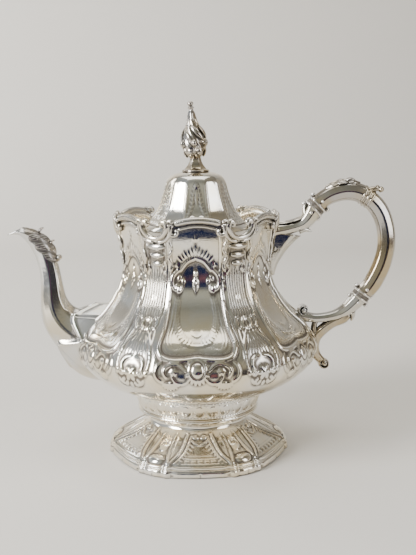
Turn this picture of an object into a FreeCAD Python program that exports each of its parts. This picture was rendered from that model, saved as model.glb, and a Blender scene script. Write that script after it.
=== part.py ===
import FreeCAD, Part
import math
import os

# Silver teapot in the rococo-revival manner: a twelve-sided baluster body on a pyramid foot, a bell-shaped
# hinged lid with a bud finial, a faceted S spout and a scroll handle held by two insulated sockets.
# Millimetres, +Z up. The origin is the centre of the foot, on the table. The handle points to +X and the
# spout to -X, and the middle of one wide panel faces -Y.

V = FreeCAD.Vector

# --- driving dimensions -------------------------------------------------------------------------------
SIDES = 6                     # wide panels, and as many narrow pilasters between them
STEP = 360.0 / SIDES
NARROW_HALF = 9.5             # half the angle of a pilaster, degrees
BODY_WALL = 1.0
FOOT_WALL = 1.0
LID_WALL = 0.9
SPOUT_WALL = 1.0
GRIP_WALL = 1.4

FLOOR_RADIUS = 34.0           # round floor plate let into the bowl
BOWL_BOTTOM = 48.0

BAND_HEIGHT = 6.2             # upright band that stands on the table
STEP_HEIGHT = 8.4             # top of the small step above the band
BAND_RADIUS = 71.8
BAND_INNER = 68.6
STEP_RADIUS = 70.2
STEP_INNER = 66.4

RIM_TOP = 192.0
ARCH_RADIUS = 56.0            # curve of the rim over a wide panel
ARCH_TOP = 191.0
DIP_RADIUS = 9.2              # U-shaped dip over a pilaster
DIP_CENTRE = 187.0
RIM_BAR = 3.6                 # height of the cast rim moulding
RIM_PROUD = 2.4               # how far it stands out from the wall
RIM_WALL = 57.2               # how far out the wall stands behind the middle of an arch
RIM_CORNER = 60.4             # and behind a dip
ARCH_HALF = 21.4              # half the width of an arch
SCROLL_TURN = 10.6            # the rim's scrolls lie this many degrees each side of a dip
SCROLL_RADIUS = 2.7
SCROLL_CENTRE = (61.6, 188.0)

# the bosses under a dip: height, half width, how far out the wall stands, half height
DROPS = ((169.8, 9.0, 58.2, 3.0), (163.0, 7.4, 57.2, 2.9), (156.4, 5.6, 56.8, 2.8))
DROP_PROUD = 2.6

STRAINER_RADIUS = 2.1
STRAINER_PITCH = 6.6
STRAINER_MIDDLE = 92.0
STRAINER_ROWS = 5

SEAT_TOP = 178.1
SEAT_HOLE = 39.3
SEAT_THICK = 1.3
SEAT_BOTTOM = 172.0
LID_BOTTOM = 178.45
LID_TOP = 222.0
BEZEL_OUTER = 38.5
BEZEL_INNER = 37.4
BEZEL_BOTTOM = 173.0

HINGE_X = 43.4
HINGE_Z = 180.4
KNUCKLE_RADIUS = 1.9
PIN_RADIUS = 0.8
PIN_CLEARANCE = 0.06
KNUCKLE_HALF = 4.0            # half length of the lid's middle knuckle
HINGE_HALF = 9.0
HINGE_GAP = 0.1

FINIAL_LEAN = 4.8             # degrees towards the spout, above the stem
FINIAL_PIVOT = 232.0
STUD_RADIUS = 2.0
STUD_BOTTOM = 212.0
NUT_RADIUS = 4.6
NUT_BOTTOM = 215.4
NUT_TOP = 218.4
WASHER_RADIUS = 6.0

RING_THICK = 3.0              # insulator washers between sockets and grip
UPPER_RING = V(93.3, 0, 193.6)
UPPER_ANGLE = 43.9            # direction of the handle's axis at the upper ring, degrees above +X
UPPER_HALF = 7.4
LOWER_RING = V(130.6, 0, 122.7)
LOWER_ANGLE = 236.4           # the same at the lower ring, where the handle runs back down
LOWER_HALF = 6.8
RING_WIDTH = 6.4              # half the rings' breadth along Y
PIN_OFFSET = 6.0              # cross pins stand this far each side of a ring
CROSS_PIN_RADIUS = 1.1
CROSS_PIN_HALF = 7.0
TENON_REACH = 9.5             # how far an insulator's tongue runs each side of the ring's middle

# outlines: height, corner radius, roundness of the sides (0 flat, 1 a full circle)
BODY_OUTLINE = (
    (48.0, 40.0, 1.0), (49.6, 46.5, 0.95), (52.2, 54.0, 0.9), (57.0, 65.5, 0.85), (63.5, 78.5, 0.8),
    (70.0, 87.2, 0.75), (77.0, 92.8, 0.7), (84.0, 94.4, 0.6), (92.0, 92.6, 0.5), (99.0, 88.6, 0.35),
    (105.5, 83.6, 0.2), (112.0, 76.4, 0.1), (119.0, 70.2, 0.05), (127.0, 64.6, 0.05), (136.0, 60.4, 0.05),
    (146.0, 58.0, 0.05), (157.0, 57.6, 0.05), (167.0, 58.8, 0.05), (177.0, 60.4, 0.05),
    (RIM_TOP, 61.2, 0.05),
)
FOOT_OUTLINE = (
    (STEP_HEIGHT, 69.0, 0.0), (11.5, 65.4, 0.0), (16.0, 57.4, 0.05), (20.5, 49.2, 0.2), (24.0, 42.8, 0.45),
    (26.6, 39.4, 0.8), (29.0, 38.6, 1.0), (31.4, 40.2, 1.0), (33.6, 43.8, 1.0),
)
LID_OUTLINE = (
    (LID_BOTTOM, 41.2, 0.7), (180.3, 40.2, 0.6), (183.0, 38.2, 0.4), (186.4, 35.4, 0.25),
    (191.0, 31.9, 0.15), (197.0, 28.9, 0.15), (204.5, 26.2, 0.2), (211.0, 24.3, 0.3), (215.6, 22.6, 0.5),
    (218.6, 19.9, 0.8), (220.6, 15.2, 1.0), (221.6, 10.4, 1.0), (LID_TOP, 7.0, 1.0),
)

# turned pieces: radius, height
FLOOR_PROFILE = ((0, BOWL_BOTTOM), (FLOOR_RADIUS, BOWL_BOTTOM), (FLOOR_RADIUS, 49.0), (0, 50.4))
COLLAR_PROFILE = (
    (47.2, 37.6), (48.4, 42.0), (50.2, 47.0), (50.9, 53.5), (49.4, 53.5), (48.8, 47.0), (47.0, 42.0),
    (45.9, 37.6),
)
BEAD_PROFILE = (
    (44.6, 33.6), (46.6, 33.9), (48.0, 35.0), (48.2, 36.0), (47.6, 37.1), (46.6, 37.6), (42.4, 37.6),
    (42.4, 33.6),
)
SEAT_PROFILE = (
    (SEAT_HOLE, SEAT_TOP), (42.5, SEAT_TOP), (48.0, 177.2), (70.0, 174.6), (70.0, 174.6 - SEAT_THICK),
    (48.0, 177.2 - SEAT_THICK), (SEAT_HOLE + SEAT_THICK, SEAT_TOP - SEAT_THICK - 0.3),
    (SEAT_HOLE + SEAT_THICK, SEAT_BOTTOM), (SEAT_HOLE, SEAT_BOTTOM),
)
BEZEL_PROFILE = (
    (BEZEL_INNER, BEZEL_BOTTOM), (BEZEL_OUTER - 0.4, BEZEL_BOTTOM), (BEZEL_OUTER, 176.0),
    (BEZEL_OUTER, LID_BOTTOM), (41.0, LID_BOTTOM), (41.0, LID_BOTTOM + 1.2), (BEZEL_INNER, LID_BOTTOM + 1.2),
)
FINIAL_DISC = ((0, 221.0), (9.0, 221.0), (10.3, 221.9), (10.3, 222.8), (9.4, 223.4), (0, 223.4))
FINIAL_STEM = ((9.4, 223.4), (7.6, 224.6), (5.6, 226.6), (4.3, 229.4), (3.9, FINIAL_PIVOT))
FINIAL_BULB = (
    (3.6, FINIAL_PIVOT), (5.6, 234.2), (8.2, 238.0), (9.6, 243.0), (8.9, 248.0), (6.6, 254.0), (4.6, 259.0),
    (3.4, 261.0),
)
FINIAL_CONE = ((0, 261.0), (3.3, 261.0), (1.9, 269.0), (2.6, 270.0), (2.6, 271.0), (1.7, 271.8), (0, 271.8))
FINIAL_BALL = (2.3, 272.8)    # radius, height
BUD_SCROLLS = ((2.7, 8.6, 30.0, 242.6), (2.1, 7.2, 0.0, 248.8))    # ball, distance, start angle, height

# handle and spout sections: inner x, inner z, outer x, outer z, half breadth along Y
GRIP_SECTIONS = (
    (102.8, 194.0, 98.2, 206.2, 6.4), (109.8, 197.2, 107.4, 210.8, 6.4), (117.0, 198.6, 118.6, 212.6, 6.6),
    (124.4, 197.6, 129.4, 210.6, 6.6), (131.6, 193.4, 139.2, 204.6, 6.4), (137.4, 186.6, 148.0, 195.6, 6.2),
    (141.2, 178.0, 153.8, 183.0, 6.0), (142.9, 168.4, 156.3, 169.6, 6.0), (142.3, 158.6, 155.7, 156.4, 6.0),
    (139.6, 149.0, 152.8, 144.2, 6.0), (135.2, 139.4, 147.8, 132.8, 6.0), (130.0, 131.4, 142.2, 124.6, 6.0),
)
UPPER_SOCKET_SECTIONS = (
    (92.6, 181.2, 84.4, 190.6, 6.2), (86.6, 176.4, 80.4, 184.4, 5.6), (77.4, 173.6, 75.6, 181.8, 5.0),
    (68.0, 170.6, 67.6, 180.6, 5.0), (57.0, 168.6, 57.0, 179.6, 5.0),
)
UPPER_TAIL_SECTIONS = (
    (56.0, 174.6, 81.0, 171.0, 4.6), (56.0, 168.6, 76.0, 166.4, 4.4), (56.0, 161.6, 70.6, 160.4, 4.0),
    (55.6, 154.6, 66.2, 153.8, 3.4), (55.6, 147.4, 62.8, 147.0, 2.6), (56.6, 140.0, 61.0, 140.0, 1.2),
)
LOWER_SOCKET_SECTIONS = (
    (117.6, 117.4, 127.4, 110.8, 5.8), (112.4, 112.8, 118.2, 104.8, 5.4), (107.2, 110.2, 109.2, 102.6, 5.0),
    (101.0, 108.8, 101.4, 101.4, 4.8), (94.0, 108.4, 93.4, 101.2, 4.8), (74.0, 112.0, 72.0, 103.4, 4.8),
)
LOWER_BRACE_SECTIONS = (
    (116.6, 110.4, 122.4, 105.0, 4.6), (112.0, 107.0, 118.6, 100.8, 4.6), (106.2, 104.0, 111.6, 98.0, 4.2),
    (98.0, 98.6, 104.6, 93.4, 4.0), (92.2, 91.0, 98.6, 87.0, 3.8), (91.0, 82.2, 97.4, 80.4, 3.6),
    (92.0, 74.0, 98.8, 75.0, 3.4), (97.0, 67.0, 102.6, 71.6, 3.4),
)
SPOUT_SECTIONS = (
    (-58.0, 108.0, -78.0, 62.0, 15.0), (-78.0, 113.6, -97.0, 69.6, 15.0),
    (-90.0, 113.4, -106.4, 79.4, 14.0), (-98.6, 117.2, -114.6, 90.4, 12.6),
    (-103.2, 123.8, -121.2, 104.2, 10.8), (-105.2, 131.6, -122.8, 118.4, 9.2),
    (-106.6, 140.2, -122.2, 132.6, 7.8), (-108.2, 149.6, -122.8, 146.4, 6.9),
    (-110.6, 158.6, -125.2, 156.6, 6.4), (-114.2, 167.2, -129.0, 164.8, 6.2),
    (-120.2, 174.0, -133.6, 171.0, 6.0), (-127.4, 178.2, -138.6, 174.4, 5.4),
    (-134.4, 180.4, -147.0, 174.2, 3.6),
)
ROOT_LEAF_SECTIONS = (
    (-56.0, 114.0, -76.0, 58.0, 20.0), (-74.6, 117.6, -96.0, 65.4, 19.0),
    (-86.0, 116.6, -105.0, 75.2, 16.4), (-93.4, 116.0, -110.6, 83.0, 14.2),
    (-97.6, 117.6, -114.6, 89.6, 12.9),
)
SPOUT_LEAF_SECTIONS = (
    (-107.4, 149.6, -111.6, 149.0, 3.6), (-108.8, 158.6, -113.4, 157.8, 5.6),
    (-112.2, 167.6, -117.2, 165.4, 6.8), (-118.0, 175.6, -122.4, 172.2, 6.6),
    (-125.2, 180.0, -128.4, 176.2, 5.8), (-131.2, 181.6, -132.8, 178.4, 4.2),
    (-135.8, 181.0, -136.4, 179.2, 2.0),
)
GRIP_LEAF_SECTIONS = (
    (99.6, 203.8, 98.0, 208.2, 4.0), (106.0, 207.4, 105.0, 213.2, 5.8), (113.0, 209.6, 113.2, 215.6, 6.2),
    (120.4, 210.0, 121.8, 215.4, 5.8), (127.8, 208.0, 130.2, 212.6, 4.2),
)
GRIP_HORN_SECTIONS = (
    (131.0, 200.0, 137.0, 210.0, 3.0), (138.6, 202.4, 141.4, 208.4, 2.6), (143.0, 204.6, 144.2, 207.6, 1.6),
)
SOCKET_CREST_SECTIONS = (
    (84.6, 185.6, 79.0, 184.6, 4.6), (86.6, 191.6, 82.4, 192.6, 3.8), (85.4, 198.0, 83.4, 198.0, 1.4),
)

# rolled ends and knobs in the handle's plane: x, z, radius
UPPER_ROLL = (81.4, 170.6, 2.8)
LOWER_ROLL = (84.6, 111.6, 4.0)
BRACE_ROLL = (101.6, 67.2, 4.0)
GRIP_KNOB = (144.3, 206.6, 2.4)
LEAF_KNOB = (-108.2, 157.2, 2.4)


def polar(radius, degrees, z):
    turn = math.radians(degrees)
    return V(radius * math.cos(turn), radius * math.sin(turn), z)


def paneled_wire(z, radius, roundness):
    """Outline of six wide and six narrow sides; each side is an arc between a chord and a circle."""
    corners = []
    for k in range(SIDES):
        corners += [STEP * k - NARROW_HALF, STEP * k + NARROW_HALF]
    corners.append(corners[0] + 360.0)
    edges = []
    for start, end in zip(corners, corners[1:]):
        flat = radius * math.cos(math.radians(end - start) / 2)
        middle = flat + (radius - flat) * max(roundness, 0.02)
        arc = Part.Arc(polar(radius, start, z), polar(middle, (start + end) / 2, z), polar(radius, end, z))
        edges.append(arc.toShape())
    return Part.Wire(edges)


def paneled_solid(outline):
    return Part.makeLoft([paneled_wire(*row) for row in outline], True, False)


def inset(outline, wall):
    """The outline moved inwards, square to the surface, by the wall thickness."""
    moved = []
    for i, (z, radius, roundness) in enumerate(outline):
        low = outline[max(i - 1, 0)]
        high = outline[min(i + 1, len(outline) - 1)]
        rise = high[0] - low[0]
        spread = high[1] - low[1]
        length = math.hypot(rise, spread)
        moved.append((z + wall * spread / length, radius - wall * rise / length, roundness))
    return moved


def raised(outline, amount):
    """The outline carried on past its last row, so that a cavity opens at the top."""
    z, radius, roundness = outline[-1]
    return list(outline) + [(z + amount, radius, roundness)]


def prism(radius, low, high):
    face = Part.Face(paneled_wire(low, radius, 0.0))
    return face.extrude(V(0, 0, high - low))


def revolved(points):
    """A solid of revolution about the axis, from an outline in (radius, height)."""
    corners = [V(r, 0, z) for r, z in points]
    face = Part.Face(Part.makePolygon(corners + corners[:1]))
    return face.revolve(V(0, 0, 0), V(0, 0, 1), 360)


def turned(points):
    """As revolved, with a smooth outer curve through the points and a straight axis side."""
    curve = Part.BSplineCurve()
    curve.interpolate([V(r, 0, z) for r, z in points])
    (low_r, low_z), (high_r, high_z) = points[0], points[-1]
    corners = [V(high_r, 0, high_z), V(0, 0, high_z), V(0, 0, low_z), V(low_r, 0, low_z)]
    wire = Part.Wire([curve.toShape()] + Part.makePolygon(corners).Edges)
    return Part.Face(wire).revolve(V(0, 0, 0), V(0, 0, 1), 360)


def ring(outer, inner, low, high):
    tube = Part.makeCylinder(outer, high - low, V(0, 0, low))
    return tube.cut(Part.makeCylinder(inner, high - low, V(0, 0, low)))


def rod(radius, start, end):
    return Part.makeCylinder(radius, (end - start).Length, start, end - start)


def cross_section(section, sides, shrink=0.0):
    """Polygon of the given number of sides, square to the XZ plane, between an inner and an outer point."""
    inner = V(section[0], 0, section[1])
    outer = V(section[2], 0, section[3])
    centre = (inner + outer) * 0.5
    across = (outer - inner).normalize()
    flat = math.cos(math.pi / sides)
    depth = ((outer - inner).Length / 2 - shrink) / flat
    breadth = (section[4] - shrink) / flat
    corners = []
    for k in range(sides):
        turn = 2 * math.pi * (k + 0.5) / sides
        corners.append(centre + across * (depth * math.cos(turn)) + V(0, breadth * math.sin(turn), 0))
    return Part.makePolygon(corners + corners[:1])


def swept(sections, sides=8, shrink=0.0):
    return Part.makeLoft([cross_section(s, sides, shrink) for s in sections], True, False)


def direction(angle):
    return V(math.cos(math.radians(angle)), 0, math.sin(math.radians(angle)))


def station(centre, angle, along, half, breadth):
    """A section square to a ring's axis, so far along it from the ring's middle."""
    middle = centre + direction(angle) * along
    across = direction(angle + 90) * half
    left = middle - across
    right = middle + across
    return (left.x, left.z, right.x, right.z, breadth)


def knob(place):
    x, z, radius = place
    return Part.makeSphere(radius, V(x, 0, z))


def roll(place, half_width):
    """A volute across the handle's plane."""
    x, z, radius = place
    return volute(V(x, 0, z), radius, half_width, V(0, 1, 0))


def volute(centre, radius, half_width, axis):
    """The rolled end of a scroll: a short drum with a bead for an eye on each side."""
    axis = V(axis).normalize()
    drum = rod(radius, centre - axis * half_width, centre + axis * half_width)
    beads = [Part.makeSphere(radius * 0.55, centre + axis * (side * half_width)) for side in (-1, 1)]
    return drum.fuse(beads)


def one_solid(shape):
    """The largest solid of a result, refined, so that every node is a clean closed body."""
    solids = sorted(shape.Solids, key=lambda s: s.Volume)
    return solids[-1].removeSplitter()


def around(shape, start, count=SIDES):
    """Copies turned about the axis, the first at the start angle."""
    copies = []
    for k in range(count):
        copy = shape.copy()
        copy.rotate(V(0, 0, 0), V(0, 0, 1), start + STEP * k)
        copies.append(copy)
    return copies


# --- body and foot ------------------------------------------------------------------------------------
def radial_drum(radius, z, near, far):
    return rod(radius, V(near, 0, z), V(far, 0, z))


def block(x0, x1, y_half, z0, z1):
    return Part.makeBox(x1 - x0, 2 * y_half, z1 - z0, V(x0, -y_half, z0))


def rim_cutters():
    """What is cut away above the wavy rim: a U over each pilaster, a low arch over each wide panel."""
    near = 40.0
    far = 80.0
    half_panel = 27.0
    above = RIM_TOP + 8
    dip = radial_drum(DIP_RADIUS, DIP_CENTRE, near, far)
    dip = dip.fuse(block(near, far, DIP_RADIUS, DIP_CENTRE, above))
    arch = block(near, far, half_panel, ARCH_TOP - 10, above)
    arch = arch.cut(radial_drum(ARCH_RADIUS, ARCH_TOP - ARCH_RADIUS, near - 1, far + 1))
    return around(dip, 0) + around(arch, STEP / 2)


def strainer_holes():
    """A pierced patch of the wall behind the spout."""
    holes = []
    for row in range(STRAINER_ROWS):
        count = 4 if row % 2 else 5
        z = STRAINER_MIDDLE + (row - (STRAINER_ROWS - 1) / 2) * STRAINER_PITCH * 0.9
        for k in range(count):
            y = (k - (count - 1) / 2) * STRAINER_PITCH
            holes.append(rod(STRAINER_RADIUS, V(-104, y, z), V(-64, y, z)))
    return holes


def body_cavity():
    return paneled_solid(raised(inset(BODY_OUTLINE, BODY_WALL), 4))


def body_shell(outer, cavity):
    shell = outer.cut(cavity)
    floor_hole = Part.makeCylinder(FLOOR_RADIUS, 10, V(0, 0, BOWL_BOTTOM - 5))
    return one_solid(shell.cut(rim_cutters() + strainer_holes() + [floor_hole]))


def body_floor():
    return revolved(FLOOR_PROFILE)


def foot_collar(outer):
    return one_solid(revolved(COLLAR_PROFILE).cut(outer))


def foot_bead():
    return one_solid(revolved(BEAD_PROFILE))


def foot_skirt():
    outer = paneled_solid(FOOT_OUTLINE)
    inner_rows = inset(FOOT_OUTLINE, FOOT_WALL)
    z, radius, roundness = inner_rows[0]
    inner_rows = [(z - 4, radius + 5, roundness)] + inner_rows
    return one_solid(outer.cut(paneled_solid(raised(inner_rows, 4))))


def foot_border():
    band = prism(BAND_RADIUS, 0, BAND_HEIGHT).fuse(prism(STEP_RADIUS, BAND_HEIGHT, STEP_HEIGHT))
    hollow = [prism(BAND_INNER, -1, BAND_HEIGHT), prism(STEP_INNER, -1, STEP_HEIGHT + 1)]
    return one_solid(band.cut(hollow))


# --- rim ----------------------------------------------------------------------------------------------
def rim_gallery(outer):
    """The cast moulding along the wavy edge: low arches over the panels, U dips over the pilasters."""
    arch_centre = ARCH_TOP - ARCH_RADIUS
    arch = radial_drum(ARCH_RADIUS + 0.6, arch_centre, RIM_WALL - 2.2, RIM_WALL + RIM_PROUD)
    arch = arch.cut(radial_drum(ARCH_RADIUS - RIM_BAR, arch_centre, 50, 70))
    arch = arch.common(block(50, 70, ARCH_HALF, 175, 200))
    dip = radial_drum(DIP_RADIUS + RIM_BAR, DIP_CENTRE, RIM_CORNER - 2.2, RIM_CORNER + RIM_PROUD)
    dip = dip.cut([radial_drum(DIP_RADIUS - 0.4, DIP_CENTRE, 50, 70), block(50, 70, 20, DIP_CENTRE, 210)])
    bars = around(arch, STEP / 2) + around(dip, 0)
    gallery = bars[0].fuse(bars[1:])
    return one_solid(gallery.cut(outer))


def rim_scrolls(gallery, outer):
    """Twelve rolled scrolls, one each side of every dip."""
    scrolls = []
    for k in range(SIDES):
        for side in (-1, 1):
            angle = STEP * k + side * SCROLL_TURN
            distance, height = SCROLL_CENTRE
            centre = polar(distance, angle, height)
            drum = volute(centre, SCROLL_RADIUS, SCROLL_RADIUS, polar(1, angle, 0))
            scrolls.append(one_solid(drum.cut([gallery, outer])))
    return Part.Compound(scrolls)


def ellipsoid(half_x, half_y, half_z):
    ball = Part.makeSphere(1.0)
    scale = FreeCAD.Matrix()
    scale.scale(V(half_x, half_y, half_z))
    return ball.transformGeometry(scale)


def pilaster_drops(outer, gallery, socket):
    """Three shrinking bosses under each dip, except where the handle's socket covers the pilaster."""
    drops = []
    for k in range(1, SIDES):
        for z, half_width, wall, half_height in DROPS:
            boss = ellipsoid(DROP_PROUD, half_width, half_height)
            boss.translate(V(wall, 0, z))
            boss.rotate(V(0, 0, 0), V(0, 0, 1), STEP * k)
            drops.append(one_solid(boss.cut([outer, gallery, socket])))
    return Part.Compound(drops)


def lid_seat(cavity):
    """The ledge inside the rim that the lid rests on, with a collar that guides the bezel."""
    return one_solid(revolved(SEAT_PROFILE).common(cavity))


# --- lid ----------------------------------------------------------------------------------------------
def lid_shell(outer):
    cavity_rows = inset(LID_OUTLINE, LID_WALL)
    z, radius, roundness = cavity_rows[0]
    cavity_rows = [(z - 3, radius + 1.5, roundness)] + cavity_rows
    cavity = paneled_solid(cavity_rows)
    stud_hole = Part.makeCylinder(STUD_RADIUS, 20, V(0, 0, LID_TOP - 10))
    return one_solid(outer.cut([cavity, stud_hole]))


def lid_bezel(shell):
    """The ring soldered inside the lid's edge, whose skirt drops into the seat."""
    return one_solid(revolved(BEZEL_PROFILE).cut(shell))


def knuckle(y0, y1, hole):
    barrel = rod(KNUCKLE_RADIUS, V(HINGE_X, y0, HINGE_Z), V(HINGE_X, y1, HINGE_Z))
    return barrel.cut(rod(hole, V(HINGE_X, y0 - 1, HINGE_Z), V(HINGE_X, y1 + 1, HINGE_Z)))


def hinge_pot_leaf(seat):
    leaf = block(HINGE_X + 0.9, 53.0, HINGE_HALF, 175.6, 179.8)
    gap = KNUCKLE_HALF + 2 * HINGE_GAP
    leaf = leaf.cut([rod(KNUCKLE_RADIUS + 0.35, V(HINGE_X, -gap, HINGE_Z), V(HINGE_X, gap, HINGE_Z)), seat,
                     rod(PIN_RADIUS, V(HINGE_X, -20, HINGE_Z), V(HINGE_X, 20, HINGE_Z))])
    leaf = one_solid(leaf.common(block(40, 60, 20, 176.4, 180)))
    near = KNUCKLE_HALF + HINGE_GAP
    barrels = [knuckle(-HINGE_HALF, -near, PIN_RADIUS), knuckle(near, HINGE_HALF, PIN_RADIUS)]
    return one_solid(leaf.fuse(barrels).cut(seat))


def hinge_lid_leaf(outer):
    barrel = knuckle(-KNUCKLE_HALF, KNUCKLE_HALF, PIN_RADIUS + PIN_CLEARANCE)
    leaf = block(36.0, HINGE_X, KNUCKLE_HALF, HINGE_Z - 0.5, HINGE_Z + 1.0)
    leaf = leaf.cut(rod(PIN_RADIUS + PIN_CLEARANCE, V(HINGE_X, -20, HINGE_Z), V(HINGE_X, 20, HINGE_Z)))
    return one_solid(barrel.fuse(leaf).cut(outer))


def hinge_pin():
    return rod(PIN_RADIUS, V(HINGE_X, -HINGE_HALF, HINGE_Z), V(HINGE_X, HINGE_HALF, HINGE_Z))


# --- finial -------------------------------------------------------------------------------------------
def lean(shape):
    shape.rotate(V(0, 0, FINIAL_PIVOT), V(0, 1, 0), -FINIAL_LEAN)
    return shape


def hexagon(radius, z):
    corners = [polar(radius, STEP * k, z) for k in range(6)]
    return Part.makePolygon(corners + corners[:1])


def finial_base(lid):
    stem = Part.makeLoft([hexagon(radius, z) for radius, z in FINIAL_STEM], True, False)
    stud_hole = Part.makeCylinder(STUD_RADIUS, 12, V(0, 0, 216))
    return one_solid(revolved(FINIAL_DISC).fuse(stem).cut([lid, stud_hole]))


def finial_bud():
    """The leafy bulb, with six small scrolls rolled outwards at its waist."""
    balls = []
    for radius, distance, start, height in BUD_SCROLLS:
        balls += around(Part.makeSphere(radius, V(distance, 0, height)), start)
    return lean(one_solid(turned(FINIAL_BULB).fuse(balls)))


def finial_spire():
    """The thin point above the bud: a cone, a bead and a ball."""
    radius, height = FINIAL_BALL
    ball = Part.makeSphere(radius, V(0, 0, height))
    return lean(one_solid(revolved(FINIAL_CONE).fuse(ball)))


def finial_stud():
    return Part.makeCylinder(STUD_RADIUS, 16.0, V(0, 0, STUD_BOTTOM))


def finial_nut():
    outer = Part.Face(hexagon(NUT_RADIUS, NUT_BOTTOM)).extrude(V(0, 0, NUT_TOP - NUT_BOTTOM))
    return one_solid(outer.cut(Part.makeCylinder(STUD_RADIUS, 10, V(0, 0, STUD_BOTTOM))))


def finial_washer(cavity_top):
    return one_solid(ring(WASHER_RADIUS, STUD_RADIUS, NUT_TOP, cavity_top))


# --- spout --------------------------------------------------------------------------------------------
def spout_channel():
    """The hollow of the spout, carried on past both ends so that it opens at the wall and at the lip."""
    rows = list(SPOUT_SECTIONS)
    x0, z0, x1, z1, breadth = rows[-1]
    rows.append((x0 - 2.4, z0 + 2.6, x1 - 2.4, z1 + 2.6, breadth))
    return swept(rows, 8, SPOUT_WALL)


def spout_shell(solid, outer):
    return one_solid(solid.cut([spout_channel(), outer]))


def spout_leaf(spout):
    """The acanthus leaf along the spout's upper edge, with its curled tip."""
    leaf = swept(SPOUT_LEAF_SECTIONS, 6)
    return one_solid(leaf.fuse(knob(LEAF_KNOB)).cut(spout))


def spout_root_leaf(spout, outer):
    """The leafy sleeve that spreads over the body where the spout leaves it."""
    return one_solid(swept(ROOT_LEAF_SECTIONS).cut([spout, outer]))


# --- handle -------------------------------------------------------------------------------------------
def tenon(centre, angle, half):
    """The tongue of an insulator, which runs on both sides into the hollow ends it joins."""
    sections = [station(centre, angle, side * TENON_REACH, half, RING_WIDTH) for side in (-1, 1)]
    return swept(sections, 8, GRIP_WALL)


def insulator(centre, angle, half, pins):
    sections = [station(centre, angle, side * RING_THICK / 2, half, RING_WIDTH) for side in (-1, 1)]
    return one_solid(swept(sections).fuse(tenon(centre, angle, half)).cut(pins))


def joint_pins(centre, angle):
    """The two cross pins of a joint, one each side of its ring."""
    pins = []
    for side in (-1, 1):
        middle = centre + direction(angle) * (side * PIN_OFFSET)
        half = V(0, CROSS_PIN_HALF, 0)
        pins.append(rod(CROSS_PIN_RADIUS, middle - half, middle + half))
    return Part.Compound(pins)


def handle_grip(cutters):
    """The hollow grip, open at both ends for the insulators' tongues."""
    first = station(UPPER_RING, UPPER_ANGLE, RING_THICK / 2, UPPER_HALF, RING_WIDTH)
    last = station(LOWER_RING, LOWER_ANGLE, -RING_THICK / 2, LOWER_HALF, RING_WIDTH)
    sections = [first] + list(GRIP_SECTIONS) + [last]
    return one_solid(swept(sections).cut([swept(sections, 8, GRIP_WALL)] + cutters))


def grip_leaf(grip):
    return one_solid(swept(GRIP_LEAF_SECTIONS, 6).cut(grip))


def grip_curl(grip):
    """The small horn with a ball where the thumb rests."""
    return one_solid(swept(GRIP_HORN_SECTIONS, 6).fuse(knob(GRIP_KNOB)).cut(grip))


def upper_socket(cutters):
    first = station(UPPER_RING, UPPER_ANGLE, -RING_THICK / 2, UPPER_HALF, RING_WIDTH)
    arm = swept([first] + list(UPPER_SOCKET_SECTIONS))
    crest = swept(SOCKET_CREST_SECTIONS, 6)
    return one_solid(arm.fuse(crest).cut(cutters))


def upper_scroll(cutters):
    """The scroll under the upper socket that runs down the pilaster."""
    strap = swept(UPPER_TAIL_SECTIONS, 6)
    return one_solid(strap.fuse(roll(UPPER_ROLL, 4.8)).cut(cutters))


def lower_socket(cutters):
    first = station(LOWER_RING, LOWER_ANGLE, RING_THICK / 2, LOWER_HALF, RING_WIDTH)
    arm = swept([first] + list(LOWER_SOCKET_SECTIONS))
    return one_solid(arm.fuse(roll(LOWER_ROLL, 4.6)).cut(cutters))


def lower_brace(cutters):
    """The C scroll that carries the lower socket down to the belly."""
    strap = swept(LOWER_BRACE_SECTIONS, 6)
    return one_solid(strap.fuse(roll(BRACE_ROLL, 3.8)).cut(cutters))


# --- assembly -----------------------------------------------------------------------------------------
def pot_nodes(body):
    gallery = rim_gallery(body)
    upper_pins = joint_pins(UPPER_RING, UPPER_ANGLE)
    lower_pins = joint_pins(LOWER_RING, LOWER_ANGLE)
    tongues = [tenon(UPPER_RING, UPPER_ANGLE, UPPER_HALF), tenon(LOWER_RING, LOWER_ANGLE, LOWER_HALF)]
    grip = handle_grip(tongues + [upper_pins, lower_pins])
    socket = upper_socket([body, gallery, tongues[0], upper_pins])
    lower = lower_socket([body, tongues[1], lower_pins])
    spout_solid = swept(SPOUT_SECTIONS)
    cavity = body_cavity()
    seat = lid_seat(cavity)
    return {
        "body_shell": body_shell(body, cavity),
        "body_floor": body_floor(),
        "foot_collar": foot_collar(body),
        "foot_bead": foot_bead(),
        "foot_skirt": foot_skirt(),
        "foot_border": foot_border(),
        "rim_gallery": gallery,
        "rim_scrolls": rim_scrolls(gallery, body),
        "pilaster_drops": pilaster_drops(body, gallery, socket),
        "lid_seat": seat,
        "hinge_pot_leaf": hinge_pot_leaf(seat),
        "hinge_pin": hinge_pin(),
        "spout_shell": spout_shell(spout_solid, body),
        "spout_leaf": spout_leaf(spout_solid),
        "spout_root_leaf": spout_root_leaf(spout_solid, body),
        "upper_socket": socket,
        "upper_scroll": upper_scroll([body, socket]),
        "upper_insulator": insulator(UPPER_RING, UPPER_ANGLE, UPPER_HALF, upper_pins),
        "upper_pins": upper_pins,
        "handle_grip": grip,
        "grip_leaf": grip_leaf(grip),
        "grip_curl": grip_curl(grip),
        "lower_insulator": insulator(LOWER_RING, LOWER_ANGLE, LOWER_HALF, lower_pins),
        "lower_pins": lower_pins,
        "lower_socket": lower,
        "lower_brace": lower_brace([body, lower]),
    }


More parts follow.
